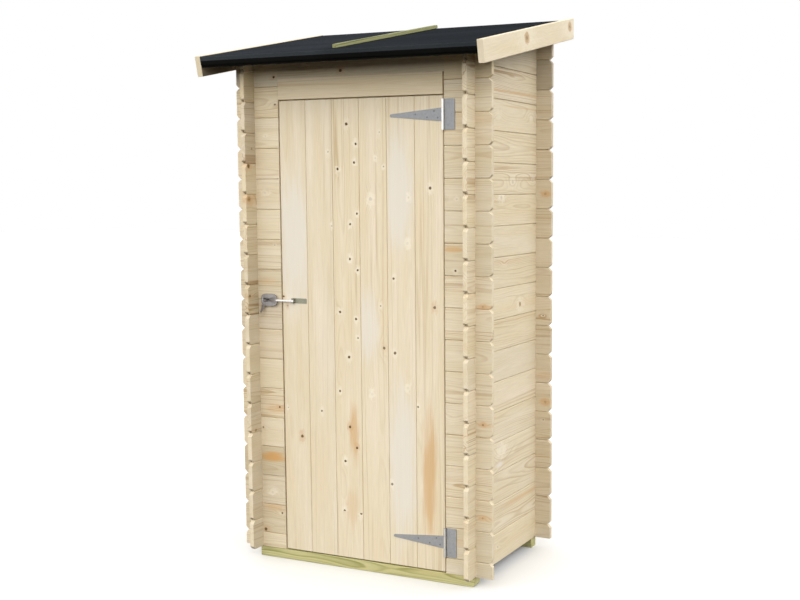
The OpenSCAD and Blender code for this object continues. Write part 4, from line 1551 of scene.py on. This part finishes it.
            # With height h the foot of the front cut is h sin behind the low y, so that
            # rise = (run - h sin) tan + h / cos.
            height = (rise - run * tan) / (1 / cos - sin * tan)
            start, base = on_slope(np.array([0.0, low[1] + height * sin, low[2]]))
            rear_s = (high[1] - SHED.front + base * sin) / cos
            place = (ROOF_ORIGIN + X_AXIS * low[0] + OFF_SLOPE * base, UP_SLOPE, OFF_SLOPE, X_AXIS)
            lumber = Lumber()
            lumber.board(place, (start, rear_s), plank(height, high[0] - low[0], arris=0.0016),
                         wood(seed, knots, tone=(0.02, 0.0, 0.6), centre=0.04, depth=(0.02, 0.03)),
                         (SQUARE, end(slant_v=tan)))
            # Painted shade: the inner face of the left barge board, deep in the shadow under the roof, is
            # darkened.
            if side == "left":
                lumber.paint_light_facing(X_AXIS, LEFT_BARGE_PAINTED_SHADE)
            lumber.piece(f"{side}_barge_timber", [node], "trim_timber", timbers("trim"))


# ---- ironmongery


def upright_pin(node):
    """Middle line of a pin, its foot, length and radius."""
    low, high = box(node)
    x, y, middle = (low + high) / 2
    return SimpleNamespace(x=x, y=y, middle=middle, foot=low[2], length=high[2] - low[2],
                           radius=(high[0] - low[0]) / 2)


def levels(node):
    """Corners of a node's box, the height of its middle and half of its own height."""
    low, high = box(node)
    return low, high, (low[2] + high[2]) / 2, (high[2] - low[2]) / 2


def sleeve(inner, outer, low, high, place, steps=28):
    """Rolled knuckle: a hollow cylinder about the out axis, its outer corners taken off."""
    c = 0.0005
    profile = [(inner, low), (outer - c, low), (outer, low + c), (outer, high - c), (outer - c, high),
               (inner, high)]
    return lathe(profile, place, steps)[0], closed_bands(steps, len(profile))


def heads_at(spots, x, z, depth, radius):
    """Screw heads on a plate of the given depth, at spots (a, b) from the place x, z."""
    return [screw(on_front(x + a, z + b, depth), radius) for a, b in spots]


STRAP_T = 0.0025    # thickness of the hinge leaves
PLATE_T = 0.002     # thickness of the hasp's plates
SOFT_EDGE = 0.0005  # bevel along the edges of the sheet metal
PLAY = 0.0003       # gap between a pin and its knuckles
KNUCKLE_GAP = 0.0006


class SHED_OT_hinges(bpy.types.Operator):
    """T-hinges: tapered straps with rolled knuckles on the door, plates with two knuckles, and pins."""

    bl_idname = "shed.hinges"
    bl_label = "Hinges"

    def execute(self, context):
        metal = sets()[2]
        steel = zinc("Hinge zinc", tuple(metal.hinge), 0.35)
        bright = zinc("Pin zinc", tuple(metal.pin), 0.15)
        # A dimmer copy of the pin zinc for the bottom hinge: painted shade.
        painted_light = zinc("Worn zinc", (0.50, 0.50, 0.48), 0.4)
        dark = zinc("Dark screw zinc", (0.16, 0.16, 0.165), 0.3)
        # The top hinge's knuckles and pin take the bright pin zinc, the bottom hinge's the dimmer copy:
        # painted shade.
        for level, rolled in (("top", bright), ("bottom", painted_light)):
            pin = upright_pin(f"{level}_hinge_pin")
            self.strap(level, pin, steel, rolled, dark)
            self.wall_plate(level, pin, steel, rolled)
            self.shaft(level, pin, rolled)
        return {"FINISHED"}

    def strap(self, level, pin, steel, bright, dark):
        low, _, middle, half = levels(f"{level}_hinge_strap")
        x, y = pin.x, pin.y
        root, shoulder, tip_r = -0.0035, -0.014, 0.0055
        tip = low[0] + tip_r - x
        lean = math.atan2(half - tip_r, shoulder - tip)
        angle = np.linspace(math.pi / 2 + lean, 1.5 * math.pi - lean, 13)
        nose = np.stack([tip + tip_r * np.cos(angle), tip_r * np.sin(angle)], -1)
        outline = np.concatenate([[(root, half), (shoulder, half)], nose,
                                  [(shoulder, -half), (root, -half)]])
        hard_piece(f"{level}_strap", [plate(outline, STRAP_T, SOFT_EDGE, on_front(x, middle))],
                   [f"{level}_hinge_strap"], steel, "door")
        roll = sleeve(pin.radius + PLAY, SHED.front - y, -half, half, upright(x, y, middle))
        hard_piece(f"{level}_strap_knuckle", [roll], [], bright, "door")
        spots = [(-0.023, -0.0118), (-0.0383, 0.0128), (-0.0679, -0.0096), (-0.1173, 0.0024)]
        hard_piece(f"{level}_strap_screws", heads_at(spots, x, middle, STRAP_T, 0.0032), [],
                   dark, "door")

    def wall_plate(self, level, pin, steel, bright):
        _, high, middle, half = levels(f"{level}_hinge_plate")
        x, y = pin.x, pin.y
        inner = levels(f"{level}_hinge_strap")[3] + KNUCKLE_GAP
        outer = SHED.front - y
        root, notch, far, r = 0.0035, outer + 0.0004, high[0] - x, 0.002
        outline = np.array([(root, -half), (far - r, -half), (far, -half + r), (far, half - r),
                            (far - r, half), (root, half), (root, inner), (notch, inner),
                            (notch, -inner), (root, -inner)])
        hard_piece(f"{level}_plate", [plate(outline, STRAP_T, SOFT_EDGE, on_front(x, middle))],
                   [f"{level}_hinge_plate"], steel)
        around, bore = upright(x, y, middle), pin.radius + PLAY
        rolls = [sleeve(bore, outer, -half, -inner, around), sleeve(bore, outer, inner, half, around)]
        hard_piece(f"{level}_plate_knuckles", rolls, [], bright)
        spots = [(0.020, half - 0.018), (0.034, 0.0), (0.020, -half + 0.018)]
        hard_piece(f"{level}_plate_screws", heads_at(spots, x, middle, STRAP_T, 0.0036), [],
                   steel)

    def shaft(self, level, pin, bright):
        dome = [(pin.radius * 0.5, 0.0), (pin.radius * 0.9, 0.0004), (pin.radius, 0.0009)]
        profile = dome + [(radius, pin.length - height) for radius, height in dome[::-1]]
        hard_piece(f"{level}_pin", [lathe(profile, upright(pin.x, pin.y, pin.foot), 20)],
                   [f"{level}_hinge_pin"], bright)


class SHED_OT_hasp(bpy.types.Operator):
    """Hasp and staple: door plate with lugs, round bar with a slotted end plate, and the staple."""

    bl_idname = "shed.hasp"
    bl_label = "Hasp"

    def execute(self, context):
        metal = sets()[2]
        steel = zinc("Hasp zinc", tuple(metal.hasp), 0.8)
        dull = zinc("Hasp plate zinc", (0.265, 0.265, 0.205), 0.3)
        bright = zinc("Pin zinc", tuple(metal.pin), 0.15)
        pin = upright_pin("hasp_pin")
        self.door_plate(pin.x, pin.y, pin.middle, dull)
        self.bar(pin.x, pin.y, pin.middle, steel)
        self.staple(pin.middle, steel, bright)
        dome = [(pin.radius * 0.5, 0.0), (pin.radius, 0.0006)]
        profile = dome + [(radius, pin.length - height) for radius, height in dome[::-1]]
        hard_piece("hasp_pivot", [lathe(profile, upright(pin.x, pin.y, pin.foot), 16)], ["hasp_pin"],
                   bright, "door")
        return {"FINISHED"}

    def door_plate(self, x, y, middle, steel):
        _, high, _, half = levels("hasp_plate")
        outline = rounded(x + 0.003, high[0], -half, half, 0.003)
        parts = [plate(outline, PLATE_T, SOFT_EDGE, on_front(0.0, middle))]
        out = SHED.front - y
        loop_r, lug_t, gap = 0.0032, 0.0024, 0.005
        angle = np.radians(np.linspace(0, -180, 15))
        loop = np.stack([loop_r * np.cos(angle), loop_r * np.sin(angle)], -1)
        path = np.concatenate([[(loop_r, out - 0.001), (loop_r, out * 0.5)], loop,
                               [(-loop_r, out * 0.5), (-loop_r, out - 0.001)]])
        parts.append(bent_strip(path[::-1], lug_t, [(-half, -gap), (gap, half)], upright(x, y, middle)))
        hard_piece("hasp_door_plate", parts, ["hasp_plate"], steel, "door")
        heads = heads_at([(0.020, 0.0), (0.051, 0.0)], x, middle, PLATE_T, 0.0034)
        hard_piece("hasp_plate_screws", heads, [], steel, "door")

    def bar(self, x, y, middle, steel):
        low = box("hasp_bar")[0]
        length, r = 0.074, 0.0046
        rod = [(r * 0.7, 0.0015), (r * 0.98, 0.003), (r, 0.006), (r, length - 0.004),
               (r * 0.8, length + 0.004)]
        eye = [(0.00205, -r), (0.0045, -r + 0.0004), (0.0045, r - 0.0004), (0.00205, r)]
        parts = [lathe(rod, (np.array([x, y, middle]), Y_AXIS, Z_AXIS, -X_AXIS), 20),
                 lathe(eye, upright(x, y, middle), 20)]
        hard_piece("hasp_rod", parts, ["hasp_bar"],
                   zinc("Hasp rod zinc", (0.90, 0.90, 0.91), 0.1), "hasp")
        parts = [self.paddle(low, x - length, y, middle), self.tab(low, y, middle)]
        hard_piece("hasp_paddle", parts, [], steel, "hasp")

    def slot_middle(self):
        """The slot goes over the staple's loop."""
        return box("hasp_staple")[0][0] + 0.024

    def paddle(self, low, right, y, middle):
        """Slotted plate: a rounded outline and the slot, both drawn from the slot's middle by angle."""
        angle = np.linspace(0, 2 * math.pi, 72, endpoint=False)
        left, slot_x = low[0], self.slot_middle()
        outer = squarish(angle, (right - left) / 2, 0.025, 3.2) + ((left + right) / 2 - slot_x, 0.0)
        hole = squarish(angle, 0.015, 0.0075, 4.0)
        rings = [(hole, 0.00125), (hole, -0.0008), (hole * 1.05, -0.00125), (inset(outer, 0.004), -0.00125),
                 (inset(outer, 0.0022), -0.0019), (inset(outer, 0.0006), -0.0016), (outer, -0.0008),
                 (outer, 0.00125)]
        points = np.concatenate([np.stack([slot_x + r[:, 0], np.full(len(r), y + d), middle + r[:, 1]], -1)
                                 for r, d in rings])
        return points, closed_bands(len(angle), len(rings))

    def tab(self, low, y, middle):
        """Finger tab: a tapering strip that leaves the foot of the plate and curls outwards.

        Its depth grows with the 2.2th power of the way down, and its width falls from 20 to 9 mm.
        """
        turn = np.linspace(0, 1.0, 12)
        out = y - 0.012 * turn ** 2.2
        height = middle - 0.021 - (middle - 0.021 - low[2]) * turn * 0.97
        left = low[0] + 0.002 - 0.001 * turn
        right = low[0] + 0.018 - 0.010 * turn
        corners = [(left, out - 0.0011), (right, out - 0.0011), (right, out + 0.0011), (left, out + 0.0011)]
        points = np.stack([np.stack([a, b, height], -1) for a, b in corners], 1).reshape(-1, 3)
        return points, skin(len(corners), len(turn), turned=True)

    def staple(self, middle, steel, bright):
        low, high = box("hasp_staple")
        outline = rounded(low[0], high[0], low[2] - middle, high[2] - middle, 0.004)
        slot_x = self.slot_middle()
        wire_r, radius = 0.0025, 0.0055
        bend = low[1] + wire_r + radius
        turn = np.linspace(math.pi, 0, 15)
        arc = np.stack([slot_x + radius * np.cos(turn), bend - radius * np.sin(turn),
                        np.full(15, middle)], -1)
        leg = [(slot_x - radius, SHED.front - depth, middle) for depth in (0.001, 0.008)]
        other = [(slot_x + radius, SHED.front - depth, middle) for depth in (0.008, 0.001)]
        path = np.concatenate([leg, arc, other])
        parts = [plate(outline, PLATE_T, SOFT_EDGE, on_front(0.0, middle)), tube_along(path, wire_r)]
        hard_piece("staple", parts, ["hasp_staple"], steel)
        spots = [(x, z) for x in (low[0] + 0.007, high[0] - 0.007) for z in (0.012, -0.012)]
        hard_piece("staple_screws", heads_at(spots, 0.0, middle, PLATE_T, 0.003), [], bright)


def squarish(angle, wide, tall, power):
    """Outline between an ellipse, at power 2, and a rectangle, at a high power."""
    cos, sin = np.cos(angle), np.sin(angle)
    return np.stack([wide * np.sign(cos) * np.abs(cos) ** (2 / power),
                     tall * np.sign(sin) * np.abs(sin) ** (2 / power)], -1)


def rounded(left, right, low, high, radius, steps=5):
    """Counter-clockwise rectangle with round corners."""
    turn = np.linspace(0, math.pi / 2, steps)
    corners = [(right - radius, low + radius, -math.pi / 2), (right - radius, high - radius, 0.0),
               (left + radius, high - radius, math.pi / 2), (left + radius, low + radius, math.pi)]
    return np.concatenate([np.stack([cx + radius * np.cos(turn + t), cz + radius * np.sin(turn + t)], -1)
                           for cx, cz, t in corners])


# ---- stage


FLOOR_BOUNCE = 0.01
SHIFT = (-0.127, 0.0134)  # framing: moves the shed sideways and up in the picture


class SHED_OT_stage(bpy.types.Operator):
    """Pale floor, soft light from all round and above, and the camera."""

    bl_idname = "shed.stage"
    bl_label = "Stage"

    def execute(self, context):
        values = sets()[3]
        self.floor(values)
        self.sky(values)
        self.camera(values)
        return {"FINISHED"}

    def floor(self, values):
        """Pale where it is seen, but it throws hardly any light back on the shed."""
        size = 30.0
        mesh = bpy.data.meshes.new("floor")
        corners = [(-size, -size, 0), (size, -size, 0), (size, size, 0), (-size, size, 0)]
        mesh.from_pydata(corners, [], [(0, 1, 2, 3)])
        ground = bpy.data.objects.new("floor", mesh)
        bpy.context.scene.collection.objects.link(ground)
        material, graph, shader = new_material("Pale floor")
        tree = material.node_tree
        tree.nodes.remove(shader)
        out = tree.nodes["Material Output"]
        seen = graph.add("BsdfDiffuse")
        graph.plug(seen.inputs["Color"], (values.floor,) * 3)
        other = graph.add("BsdfDiffuse")
        graph.plug(other.inputs["Color"], (FLOOR_BOUNCE,) * 3)
        self.seen_apart(graph, other, seen, out)
        mesh.materials.append(material)

    def sky(self, values):
        """Even light from all round: brighter low down and in front, weaker overhead, none from below."""
        world = bpy.data.worlds.new("Soft light")
        bpy.context.scene.world = world
        world.use_nodes = True
        tree = world.node_tree
        graph = Graph(tree)
        shown = tree.nodes["Background"]
        graph.feed(shown, {"Color": WHITE, "Strength": 1.0})
        light = graph.add("Background")
        across, away, height = graph.split(graph.add("TexCoord").outputs["Generated"])
        level = graph.span(height, 0.26, 0.38, values.sky * values.low, values.sky)
        overhead = graph.span(height, 0.68, 0.86, 1.0, 0.2)
        left = graph.span(across, -0.95, -0.35, 0.85, 1.0)
        behind = graph.span(away, -0.2, 0.6, 1.05, 0.86)
        ground = graph.span(height, -0.005, 0.02)
        level = graph.times(level, overhead, left, behind, ground)
        graph.feed(light, {"Color": (1.0, 0.995, 0.985), "Strength": level})
        self.seen_apart(graph, light, shown, tree.nodes["World Output"])

    def seen_apart(self, graph, lit, seen, out):
        """Shows one shader to the camera, to gloss and through glass, and another to all other rays."""
        path = graph.add("LightPath")
        direct = graph.maths("MAXIMUM", path.outputs["Is Camera Ray"], path.outputs["Is Glossy Ray"])
        direct = graph.maths("MAXIMUM", direct, path.outputs["Is Transmission Ray"])
        mixer = graph.add("MixShader")
        graph.plug(mixer.inputs[0], direct)
        for shader, socket in ((lit, mixer.inputs[1]), (seen, mixer.inputs[2])):
            graph.tree.links.new(shader.outputs[0], socket)
        graph.tree.links.new(mixer.outputs[0], out.inputs["Surface"])

    def camera(self, values):
        data = bpy.data.cameras.new("View")
        camera = bpy.data.objects.new("View", data)
        bpy.context.scene.collection.objects.link(camera)
        camera.location = values.eye
        camera.rotation_euler = (math.pi / 2 - values.down, 0.0, values.turn)
        data.lens = values.lens
        data.sensor_width = 36.0
        data.shift_x, data.shift_y = SHIFT
        data.clip_end = 200.0
        bpy.context.scene.camera = camera
        bpy.context.scene.view_settings.view_transform = "Standard"


# ---- add-on


class SHED_PT_panel(bpy.types.Panel):
    """Panel that lists the shed's pieces and settings."""

    bl_idname = "SHED_PT_panel"
    bl_label = "Pent shed"
    bl_space_type = "VIEW_3D"
    bl_region_type = "UI"
    bl_category = "Shed"

    def draw(self, context):
        for operator in OPERATORS:
            self.layout.operator(operator.bl_idname)
        for group_of_values, title in zip(sets(), ("Timber", "Roof", "Ironmongery", "Stage")):
            block = self.layout.box()
            block.label(text=title)
            for key in group_of_values.__annotations__:
                block.prop(group_of_values, key)


OPERATORS = (SHED_OT_base, SHED_OT_side_walls, SHED_OT_front_wall, SHED_OT_rear_wall,
             SHED_OT_door_frame, SHED_OT_door, SHED_OT_roof, SHED_OT_hinges, SHED_OT_hasp,
             SHED_OT_stage)
SETTINGS = {"shed_timber": ShedTimber, "shed_roof": ShedRoof, "shed_ironmongery": ShedIronmongery,
            "shed_stage": ShedStage}


def register():
    for kind in (*SETTINGS.values(), *OPERATORS, SHED_PT_panel):
        bpy.utils.register_class(kind)
    for name, kind in SETTINGS.items():
        setattr(bpy.types.Scene, name, bpy.props.PointerProperty(type=kind))


def unregister():
    for name in SETTINGS:
        delattr(bpy.types.Scene, name)
    for kind in (SHED_PT_panel, *reversed(OPERATORS), *reversed(tuple(SETTINGS.values()))):
        bpy.utils.unregister_class(kind)


def main():
    """Builds every piece."""
    register()
    for operator in OPERATORS:
        family, name = operator.bl_idname.split(".")
        getattr(getattr(bpy.ops, family), name)()


if __name__ == "__main__":
    main()
